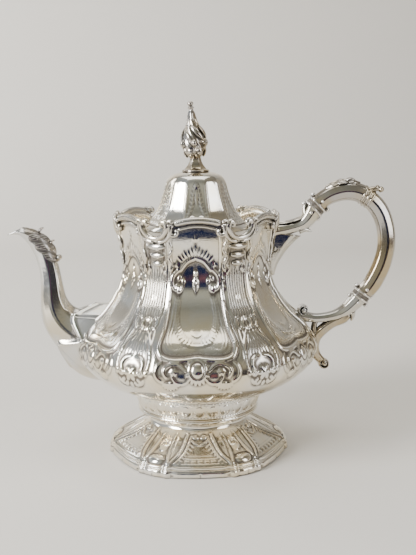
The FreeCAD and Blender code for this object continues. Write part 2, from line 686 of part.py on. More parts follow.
def lid_nodes():
    outer = paneled_solid(LID_OUTLINE)
    shell = lid_shell(outer)
    base = finial_base(outer)
    bud = finial_bud()
    return {
        "lid_shell": shell,
        "lid_bezel": lid_bezel(shell),
        "hinge_lid_leaf": hinge_lid_leaf(outer),
        "finial_base": base,
        "finial_bud": one_solid(bud.cut(base)),
        "finial_spire": one_solid(finial_spire().cut(bud)),
        "finial_stud": finial_stud(),
        "finial_nut": finial_nut(),
        "finial_washer": finial_washer(inset(LID_OUTLINE, LID_WALL)[-1][0]),
    }


def main():
    os.makedirs("parts", exist_ok=True)
    nodes = pot_nodes(paneled_solid(BODY_OUTLINE))
    nodes.update(lid_nodes())
    for name, shape in nodes.items():
        if not shape.isValid():
            print("invalid shape:", name)
        shape.exportStep("parts/" + name + ".step")
        box = shape.BoundBox
        size = "%.1f x %.1f x %.1f" % (box.XLength, box.YLength, box.ZLength)
        print("%-16s solids %2d  volume %9.1f  size %s" % (name, len(shape.Solids), shape.Volume, size))


main()
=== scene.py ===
import math

import bpy
import numpy as np
from mathutils import Matrix, Vector


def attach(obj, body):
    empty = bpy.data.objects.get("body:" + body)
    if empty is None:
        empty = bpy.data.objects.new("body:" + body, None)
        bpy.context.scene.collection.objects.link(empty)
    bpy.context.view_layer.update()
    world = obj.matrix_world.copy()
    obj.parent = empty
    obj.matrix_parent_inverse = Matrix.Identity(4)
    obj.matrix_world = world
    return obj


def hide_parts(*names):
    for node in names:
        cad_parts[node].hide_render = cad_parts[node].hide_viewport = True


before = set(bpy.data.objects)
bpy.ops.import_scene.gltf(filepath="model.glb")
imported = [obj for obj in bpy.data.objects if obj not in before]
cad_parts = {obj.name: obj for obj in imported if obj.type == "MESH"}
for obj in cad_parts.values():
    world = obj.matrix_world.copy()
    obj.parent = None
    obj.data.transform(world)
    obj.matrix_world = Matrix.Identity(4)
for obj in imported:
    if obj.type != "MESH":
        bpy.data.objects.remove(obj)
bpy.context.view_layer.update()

MM = 0.001
SIDES = 6
STEP = 360.0 / SIDES
NARROW = 9.5                  # half the angle of a pilaster
WIDE = STEP / 2 - NARROW      # half the angle of a wide panel
WALL = 1.0                    # thickness of the body's silver in millimetres

# The pot's outlines in millimetres: height, corner radius, roundness of the sides.
BODY = (
    (48.0, 40.0, 1.0), (49.6, 46.5, 0.95), (52.2, 54.0, 0.9), (57.0, 65.5, 0.85), (63.5, 78.5, 0.8),
    (70.0, 87.2, 0.75), (77.0, 92.8, 0.7), (84.0, 94.4, 0.6), (92.0, 92.6, 0.5), (99.0, 88.6, 0.35),
    (105.5, 83.6, 0.2), (112.0, 76.4, 0.1), (119.0, 70.2, 0.05), (127.0, 64.6, 0.05), (136.0, 60.4, 0.05),
    (146.0, 58.0, 0.05), (157.0, 57.6, 0.05), (167.0, 58.8, 0.05), (177.0, 60.4, 0.05), (192.0, 61.2, 0.05),
)
FOOT = (
    (8.4, 69.0, 0.0), (11.5, 65.4, 0.0), (16.0, 57.4, 0.05), (20.5, 49.2, 0.2), (24.0, 42.8, 0.45),
    (26.6, 39.4, 0.8), (29.0, 38.6, 1.0), (31.4, 40.2, 1.0), (33.6, 43.8, 1.0),
)
BAND = (
    (0.0, 71.0, 0.0), (0.5, 71.8, 0.0), (4.6, 71.8, 0.0), (5.8, 71.4, 0.0), (6.3, 70.4, 0.0),
    (7.9, 70.2, 0.0), (8.5, 69.4, 0.0),
)
LID = (
    (178.45, 41.2, 0.7), (180.3, 40.2, 0.6), (183.0, 38.2, 0.4), (186.4, 35.4, 0.25), (191.0, 31.9, 0.15),
    (197.0, 28.9, 0.15), (204.5, 26.2, 0.2), (211.0, 24.3, 0.3), (215.6, 22.6, 0.5), (218.6, 19.9, 0.8),
    (220.6, 15.2, 1.0), (221.6, 10.4, 1.0), (222.0, 7.0, 1.0),
)
COLLAR = ((37.6, 47.2), (42.0, 48.4), (47.0, 50.2), (51.4, 50.9))
BEAD = ((33.6, 43.6), (33.9, 46.4), (35.0, 47.9), (36.0, 48.2), (37.1, 47.6), (37.9, 46.4))

# The wavy rim: an arch over each panel, a round dip over each pilaster.
ARCH_RADIUS = 56.0
ARCH_TOP = 191.0
DIP_RADIUS = 9.2
DIP_CENTRE = 187.0
NECK = 174.0                   # height above which the body's grid follows the wavy rim

# Handle and spout sections in millimetres: inner x, inner z, outer x, outer z, half breadth.
GRIP = (
    (99.6, 189.3, 89.4, 199.9, 6.4), (102.8, 194.0, 98.2, 206.2, 6.4), (109.8, 197.2, 107.4, 210.8, 6.4),
    (117.0, 198.6, 118.6, 212.6, 6.6), (124.4, 197.6, 129.4, 210.6, 6.6), (131.6, 193.4, 139.2, 204.6, 6.4),
    (137.4, 186.6, 148.0, 195.6, 6.2), (141.2, 178.0, 153.8, 183.0, 6.0), (142.9, 168.4, 156.3, 169.6, 6.0),
    (142.3, 158.6, 155.7, 156.4, 6.0), (139.6, 149.0, 152.8, 144.2, 6.0), (135.2, 139.4, 147.8, 132.8, 6.0),
    (130.0, 131.4, 142.2, 124.6, 6.0), (125.8, 127.7, 137.1, 120.2, 6.4),
)
UPPER_ARM = (
    (97.3, 187.2, 87.1, 197.9, 6.4), (92.6, 181.2, 84.4, 190.6, 6.2), (86.6, 176.4, 80.4, 184.4, 5.6),
    (77.4, 173.6, 75.6, 181.8, 5.0), (68.0, 170.6, 67.6, 180.6, 5.0), (58.6, 168.8, 58.6, 179.6, 5.0),
)
UPPER_TAIL = (
    (56.0, 174.6, 81.0, 171.0, 4.6), (56.0, 168.6, 76.0, 166.4, 4.4), (56.0, 161.6, 70.6, 160.4, 4.0),
    (55.6, 154.6, 66.2, 153.8, 3.4), (55.6, 147.4, 62.8, 147.0, 2.6), (56.6, 140.0, 61.0, 140.0, 1.2),
)
LOWER_ARM = (
    (124.1, 125.2, 135.4, 117.7, 6.4), (117.6, 117.4, 127.4, 110.8, 5.8), (112.4, 112.8, 118.2, 104.8, 5.4),
    (107.2, 110.2, 109.2, 102.6, 5.0), (101.0, 108.8, 101.4, 101.4, 4.8), (94.0, 108.4, 93.4, 101.2, 4.8),
    (84.0, 110.6, 82.0, 102.4, 4.8), (77.0, 111.4, 75.0, 103.0, 4.8),
)
BRACE = (
    (116.6, 110.4, 122.4, 105.0, 4.6), (112.0, 107.0, 118.6, 100.8, 4.6), (106.2, 104.0, 111.6, 98.0, 4.2),
    (98.0, 98.6, 104.6, 93.4, 4.0), (92.2, 91.0, 98.6, 87.0, 3.8), (91.0, 82.2, 97.4, 80.4, 3.6),
    (92.0, 74.0, 98.8, 75.0, 3.4), (97.0, 68.0, 101.8, 71.4, 3.4),
)
SPOUT = (
    (-58.0, 108.0, -78.0, 62.0, 15.0), (-78.0, 113.6, -97.0, 69.6, 15.0), (-90.0, 113.4, -106.4, 79.4, 14.0),
    (-98.6, 117.2, -114.6, 90.4, 12.6), (-103.2, 123.8, -121.2, 104.2, 10.8),
    (-105.2, 131.6, -122.8, 118.4, 9.2), (-106.6, 140.2, -122.2, 132.6, 7.8),
    (-108.2, 149.6, -122.8, 146.4, 6.9), (-110.6, 158.6, -125.2, 156.6, 6.4),
    (-114.2, 167.2, -129.0, 164.8, 6.2), (-120.2, 174.0, -133.6, 171.0, 6.0),
    (-127.4, 178.2, -138.6, 174.4, 5.4), (-134.4, 180.4, -147.0, 174.2, 3.6),
)


# ------------------------------------------------------------------------------------------------ curves
def cubic(knots, values, where):
    """A natural cubic spline through the values at the knots, read at the given places."""
    knots = np.asarray(knots, float)
    values = np.asarray(values, float)
    count = len(knots)
    gaps = np.diff(knots)
    system = np.eye(count)
    right = np.zeros_like(values)
    for i in range(1, count - 1):
        system[i, i - 1:i + 2] = gaps[i - 1], 2 * (gaps[i - 1] + gaps[i]), gaps[i]
        right[i] = 6 * ((values[i + 1] - values[i]) / gaps[i] - (values[i] - values[i - 1]) / gaps[i - 1])
    bend = np.linalg.solve(system, right)
    where = np.asarray(where, float)
    k = np.clip(np.searchsorted(knots, where) - 1, 0, count - 2)
    gap = gaps[k][..., None]
    a = (knots[k + 1] - where)[..., None] / gap
    b = 1 - a
    return (a * values[k] + b * values[k + 1]
            + ((a ** 3 - a) * bend[k] + (b ** 3 - b) * bend[k + 1]) * gap ** 2 / 6)


def lengths(points):
    """How far along a polyline each of its points lies."""
    steps = np.linalg.norm(np.diff(np.asarray(points, float), axis=0), axis=1)
    return np.concatenate([[0.0], np.cumsum(steps)])


def smooth(points, count):
    """Points evenly spaced along a smooth curve through the given ones."""
    points = np.asarray(points, float)
    return cubic(lengths(points), points, np.linspace(0, lengths(points)[-1], count))


class Outline:
    """A vessel's profile: height, corner radius and roundness along its length in millimetres."""

    def __init__(self, rows):
        self.rows = np.asarray(rows, float)
        self.knots = lengths(self.rows[:, :2])
        self.length = self.knots[-1]
        fine = np.linspace(0, self.length, 800)
        self.fine = fine
        self.fine_z = self.at(fine)[..., 0]

    def at(self, s):
        return cubic(self.knots, self.rows, s)

    def s_of(self, z):
        return np.interp(z, self.fine_z, self.fine)


def side_surface(outline, s, u, half, centre, wall=0.0):
    """Points of one side of a vessel: u runs from -1 to 1 across it, s along the profile."""
    row = outline.at(s)
    z, radius, roundness = row[..., 0], row[..., 1], row[..., 2]
    slope = outline.at(np.clip(s + 0.5, 0, outline.length)) - outline.at(np.clip(s - 0.5, 0, outline.length))
    tilt = np.hypot(slope[..., 0], slope[..., 1])
    radius = radius - wall * slope[..., 0] / tilt
    z = z + wall * slope[..., 1] / tilt
    flat = radius * math.cos(math.radians(half))
    reach = radius * math.sin(math.radians(half)) * u
    out = flat + (radius - flat) * np.maximum(roundness, 0.02) * (1 - u * u)
    turn = math.radians(centre)
    x = out * math.cos(turn) - reach * math.sin(turn)
    y = out * math.sin(turn) + reach * math.cos(turn)
    return np.stack([x, y, z], axis=-1)


def normals_of(grid):
    """Unit normals of a grid whose rows climb and whose columns run to the left seen from outside."""
    across = np.gradient(grid, axis=1)
    along = np.gradient(grid, axis=0)
    normal = np.cross(across, along)
    size = np.linalg.norm(normal, axis=-1, keepdims=True)
    return normal / np.maximum(size, 1e-9)


# ------------------------------------------------------------------------------------------------ relief
PILED = 0.35                  # how much of what is there a new form adds to its own height


def curve_through(points, count=None):
    """A smooth curve through three points or more, or the straight line through two."""
    if len(points) > 2:
        return smooth(points, count or max(8, 5 * len(points)))
    return np.asarray(points, float)


class Relief:
    """A chased surface in flat coordinates, x across and s along, both in millimetres."""

    def __init__(self, x, s):
        self.x = x
        self.s = s
        self.height = np.zeros_like(x)
        # painted shade, kept apart from the chased height
        self.painted_shade = np.zeros_like(x)

    def paint_shade(self, x, s, half_x, half_s, amount):
        """Painted shade that fades outwards from a point."""
        away = ((self.x - x) / half_x) ** 2 + ((self.s - s) / half_s) ** 2
        self.painted_shade = np.maximum(self.painted_shade, amount * np.clip(1.3 - away, 0, 1))

    def nearest(self, points, reach):
        """Distance to a polyline and place along it, from 0 to 1, where the polyline is within reach."""
        points = np.asarray(points, float)
        low = points.min(axis=0) - reach
        high = points.max(axis=0) + reach
        mask = (self.x > low[0]) & (self.x < high[0]) & (self.s > low[1]) & (self.s < high[1])
        px = self.x[mask]
        ps = self.s[mask]
        best = np.full(px.shape, 1e9)
        place = np.zeros(px.shape)
        run = lengths(points)
        for i in range(len(points) - 1):
            dx, ds = points[i + 1] - points[i]
            size = dx * dx + ds * ds + 1e-12
            t = np.clip(((px - points[i][0]) * dx + (ps - points[i][1]) * ds) / size, 0, 1)
            gap = np.hypot(px - points[i][0] - t * dx, ps - points[i][1] - t * ds)
            closer = gap < best
            best = np.where(closer, gap, best)
            place = np.where(closer, (run[i] + t * (run[i + 1] - run[i])) / run[-1], place)
        return mask, best, place

    def raise_to(self, mask, amount):
        """Keeps the higher of what is there and the new amount, or the lower if it is negative."""
        old = self.height[mask]
        raised = np.maximum(old, np.maximum(old, 0) * PILED + amount)
        self.height[mask] = np.where(amount >= 0, raised, old + amount)

    def ridge(self, points, width, height, taper=0.4, count=None):
        """A rounded line, narrower towards its ends."""
        mask, gap, place = self.nearest(curve_through(points, count), width)
        swell = taper + (1 - taper) * np.sin(np.pi * np.clip(place, 0, 1)) ** 0.6
        across = np.clip(1 - (gap / (width * swell)) ** 2, 0, 1)
        self.raise_to(mask, height * swell * np.sqrt(across) * (across > 0))

    def groove(self, points, width, depth):
        mask, gap, _ = self.nearest(curve_through(points), width)
        self.height[mask] -= depth * np.clip(1 - (gap / width) ** 2, 0, 1)

    def dome(self, x, s, half_x, half_s, height):
        away = ((self.x - x) / half_x) ** 2 + ((self.s - s) / half_s) ** 2
        mask = away < 1
        self.raise_to(mask, height * (1 - away[mask]) ** 0.5)

    def dent(self, x, s, radius, depth):
        away = ((self.x - x) ** 2 + (self.s - s) ** 2) / radius ** 2
        mask = away < 1
        self.height[mask] -= depth * (1 - away[mask]) ** 0.7

    def leaf(self, base, tip, width, height, lobes=0, vein=0.5):
        """A pointed leaf with a sunk midrib and, if asked, lobed edges with side veins."""
        base = np.asarray(base, float)
        tip = np.asarray(tip, float)
        run = tip - base
        size = np.hypot(*run)
        run = run / size
        a = ((self.x - base[0]) * run[0] + (self.s - base[1]) * run[1]) / size
        b = (self.x - base[0]) * -run[1] + (self.s - base[1]) * run[0]
        mask = (a > 0) & (a < 1) & (np.abs(b) < width * 1.2)
        a = a[mask]
        b = b[mask]
        edge = width * np.sin(np.pi * a ** 0.75)
        ripple = np.ones_like(a)
        if lobes:
            phase = a * lobes + np.abs(b) / width * 0.8
            edge = edge * (0.72 + 0.28 * np.abs(np.sin(np.pi * phase)))
            ripple = 0.7 + 0.3 * np.abs(np.sin(np.pi * phase))
        inside = np.clip(1 - (b / np.maximum(edge, 1e-3)) ** 2, 0, 1)
        amount = height * np.sqrt(inside) * ripple * (1 - vein * np.exp(-(b / (width * 0.16)) ** 2))
        self.raise_to(mask, amount * (inside > 0))

    def spiral(self, x, s, radius, turns, start, width, height, sense):
        """A volute that winds in to its eye."""
        t = np.linspace(0, 1, int(26 * turns) + 4)
        reach = radius * (1 - t) ** 0.8 + 0.12 * radius * t
        turn = start + sense * t * turns * 2 * math.pi
        points = np.stack([x + reach * np.cos(turn), s + reach * np.sin(turn)], axis=-1)
        mask, gap, place = self.nearest(points, width)
        size = width * (1 - 0.45 * place)
        self.raise_to(mask, height * np.sqrt(np.clip(1 - (gap / size) ** 2, 0, 1)))
        self.dome(x, s, radius * 0.26, radius * 0.26, height * 1.1)

    def flower(self, x, s, radius, petals, height):
        """Cupped petals round a domed centre."""
        dx = self.x - x
        ds = self.s - s
        away = np.hypot(dx, ds) / radius
        mask = away < 1.15
        angle = np.arctan2(ds[mask], dx[mask])
        away = away[mask]
        lobe = np.abs(np.cos(angle * petals / 2))
        edge = 0.66 + 0.36 * lobe ** 0.6
        inside = np.clip(1 - (away / edge) ** 2, 0, 1)
        cup = 0.45 + 0.55 * np.sin(np.pi * np.clip(away / edge, 0, 1)) ** 0.8
        self.raise_to(mask, height * np.sqrt(inside) * cup * (0.55 + 0.45 * lobe))
        self.dome(x, s, radius * 0.28, radius * 0.28, height * 1.15)


def blurred(field, radius):
    """A box blur run twice, close to a Gaussian."""
    out = field
    for _ in range(2):
        for axis in (0, 1):
            pad = [(radius + 1, radius) if a == axis else (0, 0) for a in (0, 1)]
            total = np.cumsum(np.pad(out, pad, mode="edge"), axis=axis)
            low = [slice(None)] * 2
            high = [slice(None)] * 2
            low[axis] = slice(0, field.shape[axis])
            high[axis] = slice(2 * radius + 1, 2 * radius + 1 + field.shape[axis])
            out = (total[tuple(high)] - total[tuple(low)]) / (2 * radius + 1)
    return out


def recess_of(height, radius=5, depth=0.45):
    """How far each point lies below its surroundings, from 0 to 1: where tarnish stays."""
    hollow = blurred(height, radius) - height
    near = blurred(height, 2) - height
    return np.clip(hollow / depth + near / (depth * 0.5), 0, 1)


# ------------------------------------------------------------------------------------------------ meshes
class Shape:
    """Gathers grids of points, in millimetres, and makes one Blender mesh of them."""

    def __init__(self):
        self.points = []
        self.faces = []
        self.recess = []
        self.count = 0

    def add(self, points, faces, recess=None):
        points = np.asarray(points, float).reshape(-1, 3)
        self.faces.append(np.asarray(faces) + self.count)
        self.points.append(points)
        shade = np.zeros(len(points)) if recess is None else np.asarray(recess, float)
        self.recess.append(shade.reshape(-1))
        self.count += len(points)

    def grid(self, points, wrap=False, recess=None, flip=False, caps=False):
        """A grid of points; wrap joins the last column to the first, caps closes both ends with fans."""
        points = np.asarray(points, float)
        rows, cols = points.shape[:2]
        index = np.arange(rows * cols).reshape(rows, cols)
        right = np.roll(index, -1, axis=1) if wrap else index[:, 1:]
        left = index if wrap else index[:, :-1]
        quads = np.stack([left[:-1], right[:-1], right[1:], left[1:]], axis=-1).reshape(-1, 4)
        if flip:
            quads = quads[:, ::-1]
        self.add(points, quads, recess)
        if caps:
            start = self.count - rows * cols
            for row, first in ((0, True), (rows - 1, False)):
                ring = start + index[row]
                middle = self.count
                self.add(points[row].mean(axis=0)[None], np.zeros((0, 3), int))
                ahead = np.roll(ring, -1)
                fan = np.stack([ahead, ring, np.full(cols, middle)], axis=-1)
                self.faces.append(fan if first != flip else fan[:, ::-1])

    def build(self, name, body, slot, material, nodes):
        """Makes the mesh, which rides on a body and takes the place of the named CAD nodes."""
        mesh = bpy.data.meshes.new(name)
        points = np.concatenate(self.points) * MM
        mesh.vertices.add(len(points))
        mesh.vertices.foreach_set("co", points.reshape(-1))
        loops = np.concatenate([f.reshape(-1) for f in self.faces if len(f)])
        sizes = np.concatenate([np.full(len(f), f.shape[1]) for f in self.faces if len(f)])
        mesh.loops.add(len(loops))
        mesh.loops.foreach_set("vertex_index", loops.astype(np.int32))
        mesh.polygons.add(len(sizes))
        starts = np.concatenate([[0], np.cumsum(sizes)[:-1]])
        mesh.polygons.foreach_set("loop_start", starts.astype(np.int32))
        mesh.update(calc_edges=True)
        mesh.shade_smooth()
        # per point: patina in the hollows together with painted shade beside cast pieces
        tarnish_and_shade = mesh.attributes.new("tarnish_and_shade", "FLOAT", "POINT")
        tarnish_and_shade.data.foreach_set("value", np.concatenate(self.recess).astype(np.float32))
        mesh.materials.append(material)
        piece = bpy.data.objects.new(name, mesh)
        bpy.context.scene.collection.objects.link(piece)
        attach(piece, body)
        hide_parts(*nodes)


def tube(shape, path, width, depth, up=(0, 1, 0), sides=16):
    """A bar along a path: width across it, depth along its own up direction, with a free cross-section."""
    path = np.asarray(path, float)
    count = len(path)
    width = np.broadcast_to(np.asarray(width, float), (count,))
    depth = np.broadcast_to(np.asarray(depth, float), (count,))
    along = np.gradient(path, axis=0)
    along /= np.linalg.norm(along, axis=1, keepdims=True)
    up = np.broadcast_to(np.asarray(up, float), (count, 3))
    side = np.cross(along, up)
    side /= np.maximum(np.linalg.norm(side, axis=1, keepdims=True), 1e-9)
    lift = np.cross(side, along)
    turn = np.linspace(0, 2 * math.pi, sides, endpoint=False)
    cos, sin = np.cos(turn), np.sin(turn)
    grid = (path[:, None] + side[:, None] * (width[:, None, None] * cos[None, :, None])
            + lift[:, None] * (depth[:, None, None] * sin[None, :, None]))
    shape.grid(grid, wrap=True, caps=True, flip=True)


def ball(shape, centre, radius, stretch=(1, 1, 1)):
    """A small cast ball, drawn out or flattened by stretch."""
    tilt = np.linspace(-math.pi / 2, math.pi / 2, 14)[:, None]
    turn = np.linspace(0, 2 * math.pi, 20, endpoint=False)[None]
    across = np.cos(tilt)
    points = np.stack([across * np.cos(turn), across * np.sin(turn), np.sin(tilt) + 0 * turn], axis=-1)
    shape.grid(np.asarray(centre) + points * radius * np.asarray(stretch), wrap=True)


def lathe(shape, profile, count, cols, squash):
    """A turned piece from (radius, height) points; squash changes the radius by angle and height."""
    rows = smooth(profile, count)
    turn = np.linspace(0, 2 * math.pi, cols, endpoint=False)[None]
    height = rows[:, 1:] + 0 * turn
    radius = squash(rows[:, :1] + 0 * turn, height, turn)
    points = np.stack([radius * np.cos(turn), radius * np.sin(turn), height], axis=-1)
    shape.grid(points, wrap=True, caps=True)


def sections_grid(sections, count, profile, shrink=0.0):
    """A swept grid through (inner x, inner z, outer x, outer z, half breadth) sections.

    profile gives points of a unit cross-section: across from inner to outer, and along Y.
    """
    rows = np.asarray(sections, float)
    middles = (rows[:, 0:2] + rows[:, 2:4]) / 2
    fine = cubic(lengths(middles), rows, np.linspace(0, lengths(middles)[-1], count))
    inner, outer = fine[:, 0:2], fine[:, 2:4]
    middle = (inner + outer) / 2
    reach = (outer - inner) / 2
    size = np.linalg.norm(reach, axis=1, keepdims=True)
    reach = reach * (size - shrink) / size
    breadth = fine[:, 4] - shrink
    a, b = profile[:, 0], profile[:, 1]
    x = middle[:, :1] + reach[:, :1] * a
    z = middle[:, 1:] + reach[:, 1:] * a
    y = breadth[:, None] * b[None]
    return np.stack([x, y, z], axis=-1)


def facet_profile(sides, per_side, softness):
    """A unit polygon whose corners are slightly rounded, as (across, sideways) points."""
    turn = np.arange(sides * per_side) / (sides * per_side) * 2 * math.pi
    step = 2 * math.pi / sides
    local = turn % step - step / 2
    flat = math.cos(step / 2)
    radius = flat / np.cos(local)
    corner = np.abs(local) / (step / 2)
    radius = radius * (1 - softness * np.clip((corner - 0.8) / 0.2, 0, 1) ** 2) / flat
    return np.stack([radius * np.cos(turn), radius * np.sin(turn)], axis=-1)


# --------------------------------------------------------------------------------------------- materials
class Recipe:
    """Shorthand for the nodes of one material, or of the world."""

    def __init__(self, tree):
        self.nodes = tree.nodes
        self.links = tree.links

    def node(self, kind, **settings):
        made = self.nodes.new(kind)
        for name, value in settings.items():
            setattr(made, name, value)
        return made

    def put(self, value, socket):
        """Sets a socket's own value, or links an output to it."""
        if isinstance(value, bpy.types.NodeSocket):
            self.links.new(value, socket)
        else:
            socket.default_value = value

    def noise(self, place, scale, detail, stretch=(1.0, 1.0, 1.0)):
        mapping = self.node("ShaderNodeMapping")
        self.put(place, mapping.inputs["Vector"])
        self.put(stretch, mapping.inputs["Scale"])
        texture = self.node("ShaderNodeTexNoise")
        self.put(mapping.outputs["Vector"], texture.inputs["Vector"])
        self.put(scale, texture.inputs["Scale"])
        self.put(detail, texture.inputs["Detail"])
        return texture.outputs["Fac"]

    def spread(self, source, low, high, start=0.0, end=1.0):
        reach = self.node("ShaderNodeMapRange")
        self.put(source, reach.inputs["Value"])
        for name, value in (("From Min", low), ("From Max", high), ("To Min", start), ("To Max", end)):
            self.put(value, reach.inputs[name])
        return reach.outputs["Result"]

    def math(self, operation, first, second):
        sum_node = self.node("ShaderNodeMath", operation=operation)
        self.put(first, sum_node.inputs[0])
        self.put(second, sum_node.inputs[1])
        return sum_node.outputs["Value"]

    def mixed(self, factor, first, second, blend="MIX"):
        """Blends two colours, each a tuple or an output."""
        node = self.node("ShaderNodeMix", data_type="RGBA", blend_type=blend)
        colours = {i.name: i for i in node.inputs if i.type == "RGBA"}
        self.put(factor, node.inputs["Factor"])
        for name, value in (("A", first), ("B", second)):
            self.put(value + (1.0,) if isinstance(value, tuple) else value, colours[name])
        return [o for o in node.outputs if o.type == "RGBA"][0]

    def tones(self, source, stops):
        """A colour ramp through (place, colour) stops."""
        ramp = self.node("ShaderNodeValToRGB")
        elements = ramp.color_ramp.elements
        while len(elements) < len(stops):
            elements.new(0.5)
        for element, (place, colour) in zip(elements, stops):
            element.position = place
            element.color = colour + (1.0,)
        self.put(source, ramp.inputs["Fac"])
        return ramp.outputs["Color"]

    def bump(self, source, strength, distance, shader):
        relief = self.node("ShaderNodeBump")
        self.put(strength, relief.inputs["Strength"])
        self.put(distance, relief.inputs["Distance"])
        self.put(source, relief.inputs["Height"])
        self.put(relief.outputs["Normal"], shader.inputs["Normal"])


def new_material(name):
    """A material with its recipe, its shader and the coordinates its textures use."""
    material = bpy.data.materials.new(name)
    material.use_nodes = True
    recipe = Recipe(material.node_tree)
    place = recipe.node("ShaderNodeTexCoord").outputs["Object"]
    return material, recipe, recipe.nodes["Principled BSDF"], place


def metal(name, colour, roughness, patina_and_shade_colour, grain, tint=0.05, bump=0.02, crevice_shade=0.8):
    """Polished or cast metal: wipe marks, a warmer cloud, patina and painted shade in what is sunk, and
    painted shade where other metal hems it in.
    """
    material, recipe, shader, place = new_material(name)
    recipe.put(1.0, shader.inputs["Metallic"])
    sunk = recipe.node("ShaderNodeAttribute", attribute_name="tarnish_and_shade")
    # painted shade: ambient occlusion darkens the metal where other metal hems it in
    ambient_occlusion = recipe.node("ShaderNodeAmbientOcclusion", samples=8)
    recipe.put(CREVICE_SHADE_REACH, ambient_occlusion.inputs["Distance"])
    painted_crevice_shade = recipe.spread(ambient_occlusion.outputs["AO"], 0.25, 0.85, crevice_shade, 0.0)
    patina_and_shade = recipe.math("MAXIMUM", sunk.outputs["Fac"], painted_crevice_shade)
    cloud = recipe.noise(place, 38.0, 5.0)
    fine = recipe.noise(place, 420.0, 4.0)
    warmer = tuple(c * (1 - tint * w) for c, w in zip(colour, WARMING))
    base = recipe.mixed(recipe.spread(cloud, 0.4, 0.65), colour, warmer)
    # the base colour goes towards the dark colour with the patina and the painted shade
    base = recipe.mixed(recipe.spread(patina_and_shade, 0.12, 0.85, 0.0, 0.92), base, patina_and_shade_colour)
    recipe.put(base, shader.inputs["Base Color"])
    polish = recipe.spread(fine, 0.35, 0.7, roughness, roughness + 0.07)
    gloss = recipe.math("ADD", polish, recipe.spread(patina_and_shade, 0.1, 0.9, 0.0, 0.3))
    recipe.put(gloss, shader.inputs["Roughness"])
    recipe.bump(recipe.noise(place, 170.0, 3.0, grain), bump, 0.0006, shader)
    return material


def old_ivory():
    """Old ivory, darkened and stained by handling: fine streaks along it and a soft sheen."""
    material, recipe, shader, place = new_material("ivory_aged")
    streaks = recipe.noise(place, 300.0, 6.0, (1.0, 5.0, 1.0))
    colours = recipe.tones(streaks, ((0.3, (0.07, 0.06, 0.05)), (0.7, (0.22, 0.19, 0.15))))
    recipe.put(colours, shader.inputs["Base Color"])
    recipe.put(recipe.spread(streaks, 0.0, 1.0, 0.28, 0.5), shader.inputs["Roughness"])
    recipe.bump(streaks, 0.15, 0.0004, shader)
    return material


def paper(name, colour, shade):
    """Matt paper with a faint unevenness."""
    material, recipe, shader, place = new_material(name)
    recipe.put(0.85, shader.inputs["Roughness"])
    recipe.put(0.2, shader.inputs["Specular IOR Level"])
    shaded = tuple(c * shade for c in colour)
    tones = recipe.tones(recipe.noise(place, 1.2, 2.0), ((0.0, colour), (1.0, shaded)))
    recipe.put(tones, shader.inputs["Base Color"])
    return material


CREVICE_SHADE_REACH = 0.005         # metres around a point in which metal hems it in and paints shade on it
WARMING = (0.1, 0.6, 1.6)     # how much of the tint each of red, green and blue loses
ROUND = (1.0, 1.0, 1.0)       # grain of the wipe marks along x, y and z
WIPED = (1.0, 1.0, 3.0)
TURNED = (1.0, 1.0, 6.0)
FILED = (4.0, 1.0, 1.0)

SILVER = metal("silver_polished", (0.86, 0.835, 0.775), 0.085, (0.12, 0.10, 0.08), WIPED, 0.16, 0.06, 0.7)
CAST = metal("silver_cast", (0.70, 0.675, 0.63), 0.14, (0.07, 0.06, 0.05), ROUND, 0.14, 0.12, 1.0)
AGED = metal("silver_aged", (0.50, 0.475, 0.45), 0.13, (0.06, 0.052, 0.045), ROUND, 0.28, 0.10, 1.0)
WORN = metal("silver_worn", (0.66, 0.655, 0.64), 0.11, (0.09, 0.08, 0.07), WIPED, 0.18, 0.06, 0.8)
DULL = metal("silver_inside", (0.78, 0.75, 0.69), 0.32, (0.10, 0.09, 0.08), TURNED, bump=0.2)
PINS = metal("silver_pins", (0.88, 0.86, 0.83), 0.16, (0.14, 0.12, 0.10), FILED, bump=0.08)
IVORY = old_ivory()

# -------------------------------------------------------------------------------------------------- body
BODY_LINE = Outline(BODY)
FOOT_LINE = Outline(FOOT)
LID_LINE = Outline(LID)
BODY_TURN = -1.6                  # the chasing sits this far to one side of each panel's middle


def mirrored(points, side):
    return [(side * x, z) for x, z in points]


class Chaser:
    """Draws on a relief by x from the side's middle and by height above the table."""

    def __init__(self, relief, outline, shift=0.0):
        self.relief = relief
        self.outline = outline
        self.shift = shift

    def at(self, x, z):
        return x + self.shift, float(self.outline.s_of(z))

    def path(self, points, side=1):
        return [self.at(x, z) for x, z in mirrored(points, side)]

    def line(self, points, width, height, taper=0.4, side=1, count=None):
        self.relief.ridge(self.path(points, side), width, height, taper, count)

    def groove(self, points, width, depth):
        self.relief.groove(self.path(points), width, depth)

    def leaf(self, base, tip, width, height, lobes=0, vein=0.5):
        self.relief.leaf(self.at(*base), self.at(*tip), width, height, lobes, vein)

    def dome(self, x, z, half_x, half_s, height):
        self.relief.dome(*self.at(x, z), half_x, half_s, height)

    def flower(self, x, z, radius, petals, height):
        self.relief.flower(*self.at(x, z), radius, petals, height)

    def spiral(self, x, z, radius, turns, width, height, sense):
        self.relief.spiral(*self.at(x, z), radius, turns, math.pi / 2, width, height, sense)

    def ring(self, x, z, half_x, half_s, width, height, points, count):
        """An oval line round a point."""
        x, s = self.at(x, z)
        turns = np.linspace(0, 2 * math.pi, points)
        oval = [(x + half_x * math.cos(t), s + half_s * math.sin(t)) for t in turns]
        self.relief.ridge(np.array(oval), width, height, 1.0, count)

    def fan(self, x, z, angles, near, far, width, height, vein=0.5):
        """Leaves that spread from a point, each from near to far, given as half axes."""
        x, s = self.at(x, z)
        for turn in angles:
            first = (x + near[0] * math.cos(turn), s + near[1] * math.sin(turn))
            last = (x + far[0] * math.cos(turn), s + far[1] * math.sin(turn))
            self.relief.leaf(first, last, width, height, vein=vein)


